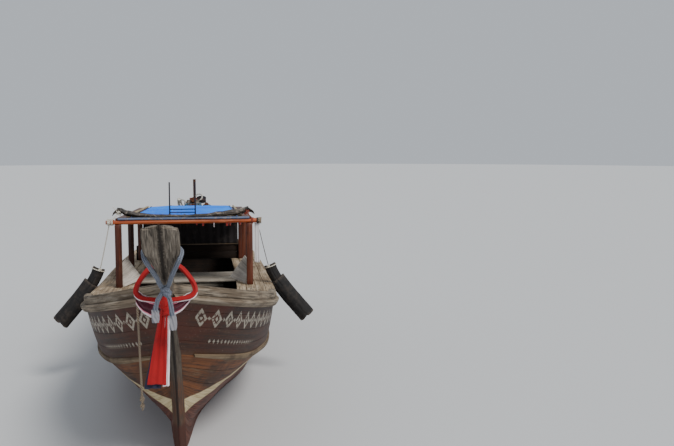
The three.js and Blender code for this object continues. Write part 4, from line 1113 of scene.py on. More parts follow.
def make_inside():
    # Floor timbers and ribs take inner_y, whose near-black colour is painted shade
    for name in ("floor_timbers", "side_ribs_port", "side_ribs_starboard"):
        paint_node(name, "inner_y")
    shape = Shape()
    top, thick, fore, aft, strips = .170, .024, -2.180, 3.750, 9
    for k in range(strips):
        rings = []
        for i in range(25):
            y = fore + (aft - fore) * i / 24
            half = room_at(y, top - thick) - .076
            x0, x1 = -half + 2 * half * k / strips + .002, -half + 2 * half * (k + 1) / strips - .002
            wave = .001 * wobble(k + 4, y * 2)
            rings.append(section(y, (x0, top - thick), (x1, top - thick), (x1, top - .003), (x1 - .003, top + wave),
                                 (x0 + .003, top + wave), (x0, top - .003)))
        shape.loft(rings)
    shape.build("sole_boards", "boat", "sole", "inner_wood", ["sole"])
    for number, y in enumerate((-.150, .850), 1):
        low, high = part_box(f"bench_{number}")
        shape = Shape()
        boards(shape, (low.x, low.y, high.z - .030), (high.x, high.y, high.z), 1, 3)
        for x in (low.x + .057, high.x - .057):
            timber(shape, (x, y - .11, low.z + .165), (x, y + .11, low.z + .165), .034, .33, steps=3)
        timber(shape, (low.x + .05, y, high.z - .055), (high.x - .05, y, high.z - .055), .045, .05)
        shape.build(f"bench_boards_{number}", "boat", "bench", "board_wood", [f"bench_{number}"])
    for number, planks in ((1, 2), (2, 3)):
        low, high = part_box(f"cross_board_{number}")
        shape = Shape()
        boards(shape, low, high, 1, planks, along=0, uneven=.02)
        shape.build(f"cross_boards_{number}", "boat", "board", "board_wood", [f"cross_board_{number}"])
    # The coaming boards take the inner finish, whose near-black colour is painted shade
    low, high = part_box("aft_coaming")
    shape = Shape()
    boards(shape, low, high, 2, 2, along=0, uneven=.004)
    shape.build("coaming_boards", "boat", "inner", "board_wood", ["aft_coaming"])
    low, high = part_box("aft_platform")
    shape = Shape()
    boards(shape, (low.x, low.y, high.z - .030), high, 0, 8, along=1)
    for y in (low.y + .048, high.y - .078):
        boards(shape, (low.x + .03, y - .018, low.z), (high.x - .03, y + .018, high.z - .031), 2, 3, along=0)
    shape.build("platform_boards", "boat", "board", "board_wood", ["aft_platform"])
    make_side_boards()


def make_side_boards():
    """Two pale boards that lean outward beside the entrance, each made of two planks, one above the other."""
    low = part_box("side_board_port")[0]
    rows = ((-1.845, .735, .800, .240), (-1.300, .560, .757, .285))
    shape = Shape()
    thick = .024
    parts = 2
    for k in range(parts):
        rings = []
        for i in range(9):
            t = i / 8
            y, foot, top, tall = (a + (b - a) * t for a, b in zip(*rows))
            a, b = Vector((foot, y, low.z)), Vector((top, y, low.z + tall))
            up = (b - a).normalized()
            out = Vector((up.z, 0, -up.x))
            s0, s1 = k / parts, (k + 1) / parts
            p, q = a.lerp(b, s0 + .003), a.lerp(b, s1 - .003)
            bow = .002 * wobble(41 + k, t * 2)
            pull = .003 if i in (0, 8) else 0
            face = thick + bow
            rings.append([p + out * (bow + pull), p + out * (face - pull), p.lerp(q, .02) + out * face,
                          q.lerp(p, .02) + out * face, q + out * (face - .003), q + out * (bow + .003)])
        shape.loft(rings)
    pair(shape, "leaning_board", "pale_board", "board_wood", "side_board")


def paint_node(name, finish):
    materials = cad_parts[name].data.materials
    materials.clear()
    materials.append(FINISH[finish].material)


# Pieces: canopy

def post_top(y):
    return ROOF_Z - (y + POST_DEPTH / 2 - ROOF_FRONT) * tan(radians(ROOF_SLOPE)) - CLEAR


ROOF = Matrix.Translation((0, ROOF_FRONT, ROOF_Z)) @ Matrix.Rotation(-radians(ROOF_SLOPE), 4, "X")


def make_posts():
    for number, y in enumerate(POST_YS, 1):
        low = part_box(f"post_{number}_port")[0]
        shape = Shape()
        timber(shape, (POST_X, y, low.z), (POST_X, y, post_top(y)), POST_WIDTH, POST_DEPTH, AFT,
               .006, 14, .002)
        pair(shape, f"roof_post_{number}", "post", "post_wood", f"post_{number}")


def make_front_pole():
    shape = Shape()
    steps = 60
    path = []
    for i in range(steps + 1):
        t = i / steps
        x = -POLE_HALF + 2 * POLE_HALF * t
        path.append(Vector((x, ROOF_FRONT + .004 * wobble(51, t * 2.2), POLE_Z + .005 * wobble(52, t * 1.9))))

    def size(t):
        knot = max(exp(-((t - k) / .012) ** 2) for k in (.13, .37, .62, .88))
        end = .82 if t in (0, 1) else 1
        return (.97 + .02 * wobble(53, t * 6) + .05 * knot) * end
    sweep(shape, path, circle(POLE_RADIUS, 20), scale=size, tone=.6)
    shape.build("front_pole", "boat", "pole", "roof_varnish", ["front_beam"], 50)


def make_roof():
    shape = Shape()
    length = ROOF_REAR - ROOF_FRONT
    for x in (-POST_X, POST_X):
        timber(shape, (x, .031, .0285), (x, length, .0285), .052, .057, steps=14, cut=.005)
    for y in POST_YS[1:]:
        timber(shape, (-POST_X, y - ROOF_FRONT, .025), (POST_X, y - ROOF_FRONT, .025), .050, .042, steps=10)
    for y in (.45, .95, 1.30, 2.05, 2.45, 2.85):
        timber(shape, (-POST_X + .03, y, .040), (POST_X - .03, y, .040), .036, .034, steps=8)
    shape.turned(ROOF).build("roof_timbers", "boat", "post", "post_wood", ["roof_frame"])
    shape = Shape()
    boards(shape, (-ROOF_HALF, -POLE_RADIUS, .0573), (ROOF_HALF, length + .040, .0733), 0, 14, along=1,
           gap=.002, uneven=.004)
    shape.turned(ROOF).build("roof_boards", "boat", "roof", "roof_varnish", ["roof_panel"])
    shape = Shape()
    for x in (-BAMBOO_X, BAMBOO_X):
        bamboo(shape, (x, BAMBOO_START, ROOF_TOP + BAMBOO_RADIUS), (x, BAMBOO_END, ROOF_TOP + BAMBOO_RADIUS))
    shape.turned(ROOF).build("bamboo_poles", "boat", "bamboo", "bamboo",
            ["roof_pole_port", "roof_pole_starboard"], 50)


def bamboo(shape, a, b):
    """A pole with swollen rings where its leaves grew."""
    a, b = Vector(a), Vector(b)
    joints = [.06 + .105 * k for k in range(9)]
    close = [j + d for j in joints for d in (-.004, -.0015, .0015, .004)]
    marks = sorted({0, 1, *[i / 40 for i in range(41)], *close})

    def size(t):
        swell = max(exp(-((t - j) / .003) ** 2) for j in joints)
        return (1 - .18 * t) * (.93 + .07 * swell)
    path = [a.lerp(b, t) + Vector((.004 * wobble(61, t * 2 + a.x), 0, 0)) for t in marks]
    rings = []
    for p, t in zip(path, marks):
        r = BAMBOO_RADIUS * size(t)
        rings.append([p + Vector((r * cos(TURN * j / 12), 0, r * sin(TURN * j / 12)
                                  - BAMBOO_RADIUS + r)) for j in range(12)])
    shape.loft(rings)


def on_roof(x, y, z):
    return ROOF @ Vector((x, y, ROOF_TOP + z))


def crown(x):
    """Height of the blue tarpaulin's stiffened middle above the roof."""
    far = abs(x)
    if far < TARP_HALF / 2:
        return TARP_CROWN
    return TARP_CROWN - (far - TARP_HALF / 2) / (TARP_HALF / 2 - TARP_EDGE) * (TARP_CROWN - TARP_EDGE)


def make_blue_tarp():
    def place(v, u):
        u = u * 2 - 1
        x = u * (TARP_HALF + .012 * wobble(71, v * 5, u))
        y = TARP_START + (TARP_END - TARP_START) * v + .01 * wobble(72, u * 2, v)
        lift = max(crown(min(abs(x), TARP_HALF - TARP_EDGE)), .004)
        folds = .006 * wobble(73, x * 3.2, y * 1.6) + .004 * wobble(74, x * 9, y * 5)
        ridge = .008 * max(0, 1 - abs(((y - .3) % .9) - .45) / .03)
        edge = max(0, (abs(u) - .93) / .07)
        return on_roof(x, y, max((lift + folds + ridge * .4) * (1 - edge) + .004 * edge, .003))
    piece = sheet("blue_tarpaulin", grid(110, 44, place), "blue", "blue_tarp", ["blue_tarp"])
    rims = Shape()
    for i, v in enumerate((.006, .135, .265, .395, .525, .655, .785, .915, .994)):
        for u in (-.955, .955) if i % 8 else (-.955, -.48, 0, .48, .955):
            x, y = u * TARP_HALF, TARP_START + (TARP_END - TARP_START) * (v if i % 8 else v * .984 + .008)
            lathe(rims, on_roof(x, y, max(crown(min(abs(x), TARP_HALF - TARP_EDGE)) + .008, .010)), (0, .04, 1),
                  [(-.006, .009), (.001, .016), (.004, .013), (.002, .008)], 14)
    eyelets = rims.build("tarpaulin_eyelets", "boat", "zinc", "blue_tarp", (), 40)


def make_black_tarp():
    """A sheet rolled up loosely across the front of the roof, pressed flat in the middle, its corners tied up."""
    across, turns, flap = 190, 62, 14
    rows = []
    for i in range(across + 1):
        place = i / across * (len(BLACK_TARP) - 1)
        k = min(int(place), len(BLACK_TARP) - 2)
        w = place - k
        soft = w * w * (3 - 2 * w)
        x, y, z, half_y, half_z = (a + (b - a) * soft for a, b in zip(BLACK_TARP[k], BLACK_TARP[k + 1]))
        x = BLACK_TARP[k][0] + (BLACK_TARP[k + 1][0] - BLACK_TARP[k][0]) * w
        rise = z - half_z
        crumple = .5 + .5 * wobble(80, x * 5)
        row = []
        for j in range(flap):
            s = j / flap
            out = y - half_y * (1.55 + .35 * wobble(85, x * 4)) * (1 - s)
            high = (.010 + .012 * crumple) * max(0, wobble(86, x * 7, s * 2)) * (1 - s)
            row.append((x, out, rise + .004 + high))
        for j in range(turns):
            s = j / (turns - 1)
            turn = -pi / 2 + TURN * 2.15 * s
            size = (1 - .62 * s) * (1 + .20 * wobble(81, x * 6, cos(turn), sin(turn) + s)
                                    + .12 * crumple * sin(5 * turn + 14 * x) + .07 * sin(9 * turn - 31 * x))
            size = min(size, 1.14 - .55 * s)
            row.append((x + .010 * wobble(83, x * 6, turn), y + half_y * size * cos(turn),
                        z + half_z * size * sin(turn)))
        rows.append([on_roof(a, b, max(c, .002 + .002 * (j >= flap))) for j, (a, b, c) in enumerate(row)])
    shape = Shape()
    shape.loft(rows, closed=False, tone=.5)
    # Loose corners that hang down outside the knots
    for sign, rise in ((-1, .020), (1, .012)):
        def corner(t, u):
            spot = Vector((sign * (.770 + .085 * t), .040 - .05 * t, .120 - .055 * t + rise * sin(3 * t)))
            return on_roof(spot.x + sign * .016 * u, spot.y + .010 * sin(u * 9 + 5 * t) + .03 * u,
                           spot.z - .064 * u * (1 - .35 * t))
        shape.loft(grid(18, 12, corner), closed=False, tone=.4)
    piece = shape.build("black_tarpaulin", "boat", "black", "black_tarp", ["black_tarp"], 0)
    thicken(piece, .0010)
    make_corner_ties()
    make_edge_strip()
    make_scraps()


def make_corner_ties():
    """Knots that tie the black tarpaulin's corners to the front pole."""
    shape = Shape()
    left, right = on_roof(-.800, .060, .085), on_roof(.775, .060, .080)
    for spot, mark, thick, side in ((left, 0, .0065, -1), (right, 1, .0055, 1)):
        knot(shape, spot + Vector((0, -.030, -.012)), .024, thick, 3 + side, mark)
        knot(shape, spot + Vector((-.020 * side, -.036, -.034)), .018, thick, 5 + side, mark)
        foot = Vector((side * (.868 if side < 0 else .838), ROOF_FRONT, POLE_Z))
        wrap(shape, foot, (1, 0, 0), POLE_RADIUS + .0008, 2, thick, mark=mark)
        line_between(shape, foot + Vector((0, -.030, .022)), spot + Vector((0, -.034, -.020)), .004, thick, mark)
    line_between(shape, right + Vector((.012, -.04, -.01)), right + Vector((.056, -.052, -.21)), -.006, .0035, 2)
    line_between(shape, left + Vector((-.012, -.04, .01)), left + Vector((-.062, -.03, .055)), 0, .0045, 0)
    wrap(shape, (POLE_HALF - .014, ROOF_FRONT, POLE_Z), (1, 0, 0), POLE_RADIUS + .0006, 3, .006, mark=2)
    shape.build("roof_corner_ties", "boat", ["white_rope", "red_line", "rope"], "rope", (), 50)


def make_edge_strip():
    """A strip of cloth along the roof's front edge."""
    rows = []
    for i in range(101):
        x = -.800 + 1.600 * i / 100
        rows.append([on_roof(x, y + .003 * wobble(88, x * 5), z + .0015 * wobble(89, x * 11, y * 40))
                     for y, z in ((-.034, -.020), (-.0345, -.008), (-.033, .004), (-.024, .0062), (-.008, .0058),
                                  (.010, .0052))])
    edge = sheet("roof_edge_strip", rows, "edge_cloth", "blue_tarp", tone=.3)


def make_scraps():
    """Faded scraps of ribbon left under the front pole."""
    shape = Shape()
    for x, wide, tall, mark in ((.228, .030, .030, 0), (.150, .022, .018, 0), (.522, .034, .034, 0),
                                (.560, .020, .030, 0), (.684, .028, .022, 0), (.362, .012, .048, 1)):
        def place(t, u):
            return Vector((x + (u - .5) * wide * (1 - .4 * t) + .004 * wobble(151, x * 9, t * 2),
                           ROOF_FRONT - .024 * (1 - t) ** 2 - .006 + .004 * sin(u * 8 + 9 * x),
                           POLE_Z - .022 - (tall + .008) * t))
        shape.loft(grid(8, 6, place), closed=False, tone=.4, mark=mark)
    piece = thicken(shape.build("ribbon_scraps", "boat", ("faded_red", "white"), "red_cloth", (), 0), .0010)


def make_rack():
    shape = Shape()
    foot = TARP_CROWN + CLEAR
    for x in RACK_XS:
        path = [Vector((x, RACK_Y, ROOF_TOP + foot + (RACK_HEIGHT - foot) * i / 8)) for i in range(9)]
        sweep(shape, path, circle(RACK_RADIUS, 10), up=AFT)
        lathe(shape, (x, RACK_Y, ROOF_TOP + foot), UP, [(0, .020), (.004, .020), (.006, .011)], 14)
        lathe(shape, (x, RACK_Y, ROOF_TOP + RACK_HEIGHT - .002), UP, [(0, .010), (.006, .010), (.009, .005)], 12)
    for z in RACK_BARS:
        path = [Vector((RACK_XS[0] + (RACK_XS[1] - RACK_XS[0]) * i / 6, RACK_Y, ROOF_TOP + z))
                for i in range(7)]
        sweep(shape, path, circle(.007, 10))
    shape.turned(ROOF).build("rack_rails", "boat", "black_steel", "black_steel", ["roof_rack"], 45)


def make_curtains():
    rows = []
    low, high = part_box("side_curtain")
    for i in range(41):
        z = high.z - (high.z - low.z) * i / 40
        row = []
        for u in (j / 16 for j in range(17)):
            x = low.x + (high.x - low.x) * (u + .05 * wobble(91, i * .06))
            y = ROOF_FRONT + .007 * sin(u * 13 + .8 * wobble(92, i * .05)) * (.5 + .5 * i / 40)
            row.append(Vector((x, y, z + .006 * wobble(93, u * 3, 0) * (i / 40))))
        rows.append(row)
    piece = sheet("side_cloth", rows, "curtain", "curtain_cloth", ["side_curtain"])
    # The rear curtain's near-black cloth stands in for the shade at the back of the canopy: painted shade
    rows = []
    low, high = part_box("rear_curtain")
    for i in range(21):
        z = high.z - (high.z - low.z) * i / 20
        row = []
        for u in (j / 160 for j in range(161)):
            fold = sin(u * 88 + 2 * wobble(95, u * 6)) * (.45 + .55 * i / 20)
            y = POST_YS[2] + .011 * fold + .003 * wobble(96, u * 20, i * .1)
            row.append(Vector((low.x + (high.x - low.x) * u, y, z)))
        rows.append(row)
    piece = sheet("rear_cloth", rows, "dark_cloth", "dark_cloth", ["rear_curtain"])


# Pieces: fenders, cloths and rope

# Fenders cut from a tyre: points along the middle of each strip
FENDER_STUB = [(1.062, -1.700, 1.462), (1.092, -1.705, 1.380), (1.140, -1.712, 1.290), (1.215, -1.722, 1.170)]
FENDER_BODY = [(1.150, -1.718, 1.275), (1.250, -1.730, 1.140), (1.385, -1.752, .975), (1.535, -1.775, .800)]


def tyre_strip(shape, rows, outer, inner, steps, notch, seed):
    """A half pipe with its hollow side to the stern, grooved along its back and torn at its ends."""
    path = even(rows, steps + 1)
    parts = 26
    rings = []
    for i, p in enumerate(path):
        a, b = path[max(i - 1, 0)], path[min(i + 1, steps)]
        way = (b - a).normalized()
        across = way.cross(AFT).normalized()
        ring = []
        for radius, order in ((outer, range(parts + 1)), (inner, range(parts, -1, -1))):
            for k in order:
                turn = pi * k / parts
                groove = .0045 if radius == outer and k in (8, 13, 18) else 0
                size = radius - groove + .0025 * wobble(seed, i * .25, k * .4)
                torn = 0.0
                if i == steps:
                    torn = -notch * exp(-((turn - 1.75) / .24) ** 2) + .004 * wobble(seed, k * 1.1)
                if i == 0:
                    torn = .006 * wobble(seed + 3, k * .8)
                ring.append(p + across * (size * cos(turn)) - Vector((0, size * sin(turn), 0)) + way * torn)
        rings.append(ring)
    shape.loft(rings)
    return path


def knot(shape, centre, size, thick, seed, mark=0):
    """A line knotted over and under itself."""
    centre, path = Vector(centre), []
    turn = Matrix.Rotation(seed * 1.7, 3, "X") @ Matrix.Rotation(seed * .9, 3, "Z")
    for i in range(49):
        t = TURN * i / 48
        far = 2 + cos(3 * t)
        path.append(centre + turn @ Vector((far * cos(2 * t) / 3, far * sin(2 * t) / 3, sin(3 * t) / 2)) * size)
    sweep(shape, path, circle(thick, 8), mark=mark, tone=.3)


def wrap(shape, centre, axis, radius, turns, thick, mark=0):
    """Turns of line round a bar."""
    axis = Vector(axis).normalized()
    side = axis.cross(AFT).normalized()
    other = axis.cross(side)
    path = []
    for i in range(int(turns * 16) + 1):
        t = i / 16
        path.append(Vector(centre) + axis * ((t - turns / 2) * thick * 2.1)
                    + (side * cos(TURN * t) + other * sin(TURN * t)) * (radius + thick * .9))
    sweep(shape, path, circle(thick, 8), mark=mark, tone=.5)


def line_between(shape, a, b, sag, thick, mark=0):
    """A line that runs nearly straight between two points."""
    a, b = Vector(a), Vector(b)
    path = [a.lerp(b, t) - Vector((0, 0, sag * 4 * t * (1 - t))) for t in (i / 16 for i in range(17))]
    sweep(shape, path, circle(thick, 8), mark=mark, tone=.4)


def make_fenders():
    shape = Shape()
    stub = tyre_strip(shape, FENDER_STUB, .074, .052, 16, .01, 141)
    tyre_strip(shape, FENDER_BODY, .106, .074, 26, .03, 142)
    pair(shape, "tyre_fender", "rubber", "tyre_rubber", "fender", 32)
    # Lines that hold them, from the ends of the front pole, and lashings to the side decks
    shape = Shape()
    way = (stub[2] - stub[0]).normalized()
    across = way.cross(AFT).normalized()
    for sign in (1, -1):
        place = lambda p: Vector((p[0] * sign, p[1], p[2]))
        mark = 0 if sign > 0 else 1
        thick = .0042 if sign > 0 else .0062
        top = stub[1] + way * .004
        band = []
        for k in range(25):
            turn = pi * k / 24
            band.append(place(top + across * (.079 * cos(turn)) - Vector((0, .079 * sin(turn), 0))))
        sweep(shape, band, circle(.0065, 8), mark=1)
        middle = band[0].lerp(band[-1], .5) + Vector((0, .006, .004))
        sweep(shape, [band[0], middle, band[-1]], circle(.006, 8), mark=1)
        back = top - across * .03
        knot(shape, place(back + Vector((0, -.078, .012))), .017, .006, 2 + sign, 1)
        head = place((LASHING_X, ROOF_FRONT, POLE_Z - .030))
        line_between(shape, head, place(back + Vector((0, -.078, .02))), .012, thick, mark)
        wrap(shape, place((LASHING_X, ROOF_FRONT, POLE_Z)), (1, 0, 0), POLE_RADIUS + .0008, 3, thick, mark=mark)
        knot(shape, place((LASHING_X, -1.936, POLE_Z - .012)), .013, thick, 4 + sign, mark)
        rail, corner, thin = place((1.020, -1.990, 1.226)), place((1.132, -1.800, 1.232)), .0034
        line_between(shape, corner, rail, .004, thin, 2)
        knot(shape, rail + Vector((0, 0, .004)), .009, thin, 7, 2)
        line_between(shape, corner, place((1.150, -1.640, 1.215)), .003, thin, 2)
    shape.build("fender_lines", "boat", ["cord", "white_rope", "black_line"], "rope", (), 50)


def make_rope():
    path = even(ROPE_ROUTE, 30)
    shape = Shape()
    sweep(shape, path, circle(ROPE_RADIUS, 10), tone=.4)
    rope = shape.build("bow_rope_hanging", "boat", "rope", "rope", ["bow_rope"], 0)
    knots = Shape()
    ball(knots, path[-3], (.019, .019, .024), 9, 14, .5, 3)
    ball(knots, path[-1] + Vector((0, 0, .004)), (.017, .017, .021), 9, 14, .5, 6)
    for k in range(5):
        a = path[-1] + Vector((0, 0, -.008))
        b = a + Vector((.006 * cos(k * 1.3), .006 * sin(k * 1.3), -.026))
        sweep(knots, [a, a.lerp(b, .5) + Vector((.002, 0, 0)), b], circle(.003, 6))
    tie = knots.build("bow_rope_knots", "boat", "rope", "rope", (), 50)
    tuple(path[0])
    [tuple(p) for p in path]


SASH_STRAP = [(-.004, -6.303, 2.300), (.052, -6.322, 2.300), (.100, -6.375, 2.294), (.132, -6.440, 2.272),
              (.122, -6.500, 2.225), (.090, -6.440, 2.155), (.055, -6.338, 2.072), (.024, -6.262, 1.990),
              (0, -6.236, 1.962)]
SASH_TAILS = [[(-.012, -6.250, 1.955), (-.055, -6.252, 1.890), (-.080, -6.250, 1.800), (-.078, -6.250, 1.720)],
              [(.010, -6.250, 1.955), (.030, -6.252, 1.880), (.042, -6.250, 1.780), (.044, -6.250, 1.660)]]
GARLAND_LOOP = [(-.004, -5.974, 2.122), (.058, -5.982, 2.118), (.118, -5.998, 2.085), (.176, -6.014, 2.020),
                (.214, -6.022, 1.955), (.220, -6.028, 1.905), (.190, -6.035, 1.872), (.110, -6.035, 1.854),
                (0, -6.024, 1.838)]


def folded(radius, ribs, depth, seed, sides=36, flat=1.0):
    """Outline of cloth gathered into a bundle: ribs of fold round it, wandering along its length."""
    def outline(t):
        pairs = []
        for j in range(sides):
            turn = TURN * j / sides
            ripple = sin(ribs * turn + 5 * t + 2 * wobble(seed, t * 4)) * depth
            ripple += .10 * wobble(seed + 2, cos(turn) * 1.4, sin(turn) * 1.4, t * 9)
            size = radius * (.90 + ripple)
            pairs.append((size * cos(turn), size * flat * sin(turn)))
        return pairs
    return outline


def make_sash():
    shape = Shape()
    strap = even(SASH_STRAP, 60)
    for sign in (1, -1):
        sweep(shape, [Vector((sign * p.x + lean(p.z), p.y, p.z)) for p in strap],
              folded(.0165, 5, .22, 102 + sign))
    ball(shape, (-.012, -6.250, 1.962), (.038, .030, .034), 14, 24, .55, 7)
    ball(shape, (.006, -6.262, 1.935), (.030, .022, .026), 12, 20, .55, 17)
    knot(shape, (-.008, -6.262, 1.955), .026, .011, 3)
    for rows, seed in zip(SASH_TAILS, (111, 115)):
        path = [p + Vector((lean(p.z), 0, 0)) for p in even(rows, 36)]
        sweep(shape, path[:23], folded(.024, 5, .30, seed, flat=.7), scale=lambda t: .75 + .28 * t)
        sweep(shape, path[22:], folded(.024, 5, .30, seed, flat=.7),
              scale=lambda t: 1.03 + .10 * t - .22 * t ** 6, mark=1)
    piece = shape.build("neck_cloth", "boat", ["check", "grey_cloth"], "checked_cloth", ["neck_sash"], 60)


def make_garland():
    """A red cloth looped round the stem, with a white and a navy one beside it, knotted in front."""
    shape = Shape()
    loop = even(GARLAND_LOOP, 80)
    for sign in (1, -1):
        side = [Vector((p.x * sign - .020, p.y, p.z)) for p in loop]
        sweep(shape, side, folded(.0195, 4, .16, 121 + sign))
        outer = [Vector((p.x * 1.0 + sign * .010, p.y + .004, p.z - .016)) for p in side[14:]]
        sweep(shape, outer, folded(.0075, 3, .2, 128 + sign, 14), mark=1)
        inner = [Vector((p.x + sign * .006, p.y + .020, p.z - .020)) for p in side[10:]]
        sweep(shape, inner, folded(.0085, 3, .2, 138 + sign, 14), mark=2)
    ball(shape, (-.022, -6.062, 1.822), (.044, .036, .046), 14, 24, .6, 11)
    ball(shape, (-.014, -6.082, 1.775), (.034, .026, .044), 12, 20, .5, 12)
    ball(shape, (-.044, -6.070, 1.800), (.020, .022, .028), 10, 16, .5, 13)
    piece = shape.build("garland_cloth", "boat", ["red", "white", "navy"], "red_cloth",
                        ["flag_sash"], 60)
    make_swag()
    make_flag()


def make_swag():
    """A worn maroon cloth with pink and white edges that hangs under the loop."""
    parts = 16

    def place(t, v):
        u = t * 2 - 1
        rim = Vector((.226 * u - .020, -6.016, 1.850 + .085 * abs(u) ** 2.4))
        hem = Vector((.222 * u - .026, -5.990 - .012 * cos(u * 2), 1.706 + .040 * u + .150 * abs(u) ** 3))
        fold = .007 * sin(v * 21 + 3 * wobble(161, u * 2.5)) + .006 * wobble(162, u * 5, v * 3)
        sag = .012 * sin(pi * v)
        return rim.lerp(hem, v) + Vector((.004 * wobble(163, u * 7, v * 4), fold - sag,
                .006 * wobble(164, u * 8, v)))
    marks = [1] + [0] * 3 + [2] + [0] * (parts - 8) + [2, 1, 1]
    piece = sheet("maroon_swag", grid(120, parts, place), ("maroon", "white", "pink"), "red_cloth", marks=marks)


FLAG_Y, FLAG_TOP = -6.086, 1.800
FLAGS = (  # name, finish, depth, top left and right, bottom left and right, folds, height of the bottom
    ("flag_red", "red", 0, -.052, -.004, -.168, -.024, 3.1, 1.205),
    ("flag_white", "white", .010, -.020, .012, -.052, -.003, 2.2, 1.190),
    ("flag_navy", "navy", .020, -.034, .002, -.192, -.066, 2.6, 1.168),
)


def make_flag():
    """The long tails of the garland: red in front, white beside it and navy behind."""
    for number, (name, finish, back, left, right, low_left, low_right, folds, bottom) in enumerate(FLAGS):
        def place(t, u):
            a, b = left + (low_left - left) * t ** .8, right + (low_right - right) * t ** .8
            sway = u + .10 * wobble(170 + number, t * 1.6, u)
            ripple = sin(sway * folds * 2 * pi + 1.5 * wobble(131 + number, t * 1.3))
            ripple = ripple * (.0075 - .004 * t) + .006 * wobble(132 + number, u * 3, t * 4)
            x = a + (b - a) * u + .004 * wobble(174, t * 5)
            z = FLAG_TOP + (bottom - FLAG_TOP) * t + .012 * wobble(133 + number, u * 2.2, 1) * t
            return Vector((x, FLAG_Y + back + ripple, z))
        piece = sheet(name, grid(80, 40, place), finish, "red_cloth")


# Pieces: engine

ENGINE = Matrix.Translation(PIVOT) @ Matrix.Rotation(-TAIL_ANGLE, 4, "X")
SHAFT_Z = .110
TAIL_END = 3.800
# Fin outline, back from the end of the tube and up from the shaft
SKEG = [(-.520, -.020), (-.050, -.020), (-.050, -.190), (-.140, -.200), (-.290, -.110)]
# Propeller blade: distance out, half-width, pitch in degrees
BLADE = [(.018, .025, 40), (.050, .036, 35), (.080, .042, 30), (.110, .040, 25), (.130, .033, 21), (.143, .022, 19),
         (.1485, .012, 18), (.1498, .004, 18)]


def slab(shape, low, high, cut=.006, mark=0):
    """A cast block with rounded edges."""
    low, high = Vector(low), Vector(high)
    middle, size = (low + high) / 2, high - low
    cut = min(cut, *(v * .4 for v in size))
    rings = []
    for y, pull in ((low.y, 1), (low.y + cut * .3, .45), (low.y + cut, 0), (high.y - cut, 0),
                    (high.y - cut * .3, .45), (high.y, 1)):
        rings.append([Vector((middle.x + a, y, middle.z + b)) for a, b in chamfered(
            size.x - 2 * cut * pull, size.z - 2 * cut * pull, cut)])
    shape.loft(rings, mark=mark)


def bolts(shape, places, axis, radius=.009, height=.008, mark=1):
    """Hexagon heads on round washers."""
    for place in places:
        lathe(shape, place, axis, [(0, radius * 1.5), (.002, radius * 1.5), (.0021, radius * .9)], 14, mark)
        lathe(shape, Vector(place) + Vector(axis).normalized() * .0018, axis,
              [(0, radius), (height * .8, radius), (height, radius * .8)], 6, mark)


def wheel(x, y, z, radius, angles):
    """Places round a circle square to the shaft."""
    return [(x + radius * cos(a), y, z + radius * sin(a)) for a in angles]


def pipe(shape, rows, radius, mark=0, clamps=True, steps=40):
    """A bent pipe or hose with a clamp near each end."""
    path = even(rows, steps)
    sweep(shape, path, circle(radius, 14), mark=mark)
    if clamps:
        for i, j in ((1, 2), (-2, -3)):
            band = [(0, radius * 1.02), (.001, radius * 1.16), (.011, radius * 1.16), (.012, radius * 1.02)]
            lathe(shape, path[i], path[j] - path[i], band, 18, 1)


def drive_belt(shape, wheels, y, mark):
    """A belt stretched round wheels given as x, z, radius."""
    points = [(x + r * cos(k * pi / 24), z + r * sin(k * pi / 24))
              for x, z, r in wheels for k in range(48)]
    hull = []
    for chain in (sorted(points), sorted(points, reverse=True)):
        part = []
        for q in chain:
            while len(part) > 1 and ((part[-1][0] - part[-2][0]) * (q[1] - part[-2][1])
                                     - (part[-1][1] - part[-2][1]) * (q[0] - part[-2][0])) <= 0:
                part.pop()
            part.append(q)
        hull += part[:-1]
    rings = []
    for i in range(len(hull) + 1):
        a, b, c = (Vector(hull[(i + k) % len(hull)]) for k in (-1, 0, 1))
        way = ((b - a).normalized() + (c - b).normalized()).normalized()
        out = Vector((way.y, -way.x))
        rings.append([Vector((b.x + out.x * h, y + w, b.y + out.y * h))
                      for w, h in ((-.005, -.001), (.005, -.001), (.007, .006), (-.007, .006))])
    shape.loft(rings, mark=mark)


def make_engine():
    for node, finish in (("engine_frame", "rust"), ("engine_yoke", "rust"), ("exhaust_pipe", "rust"),
                         ("tiller", "zinc")):
        paint_node(node, finish)
    make_engine_block()
    make_engine_head()
    make_tail()
    make_engine_fittings()
    shape = Shape()
    low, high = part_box("engine_bed")
    boards(shape, low, high, 1, 2, along=0)
    for x in (-.78, -.40, .40, .78):
        bolts(shape, [(x, y, high.z - .003) for y in (4.155, 4.245)], UP, .008, .006)
    shape.build("engine_bed_timbers", "boat", ["bench", "bolt"], "inner_wood", ["engine_bed"])


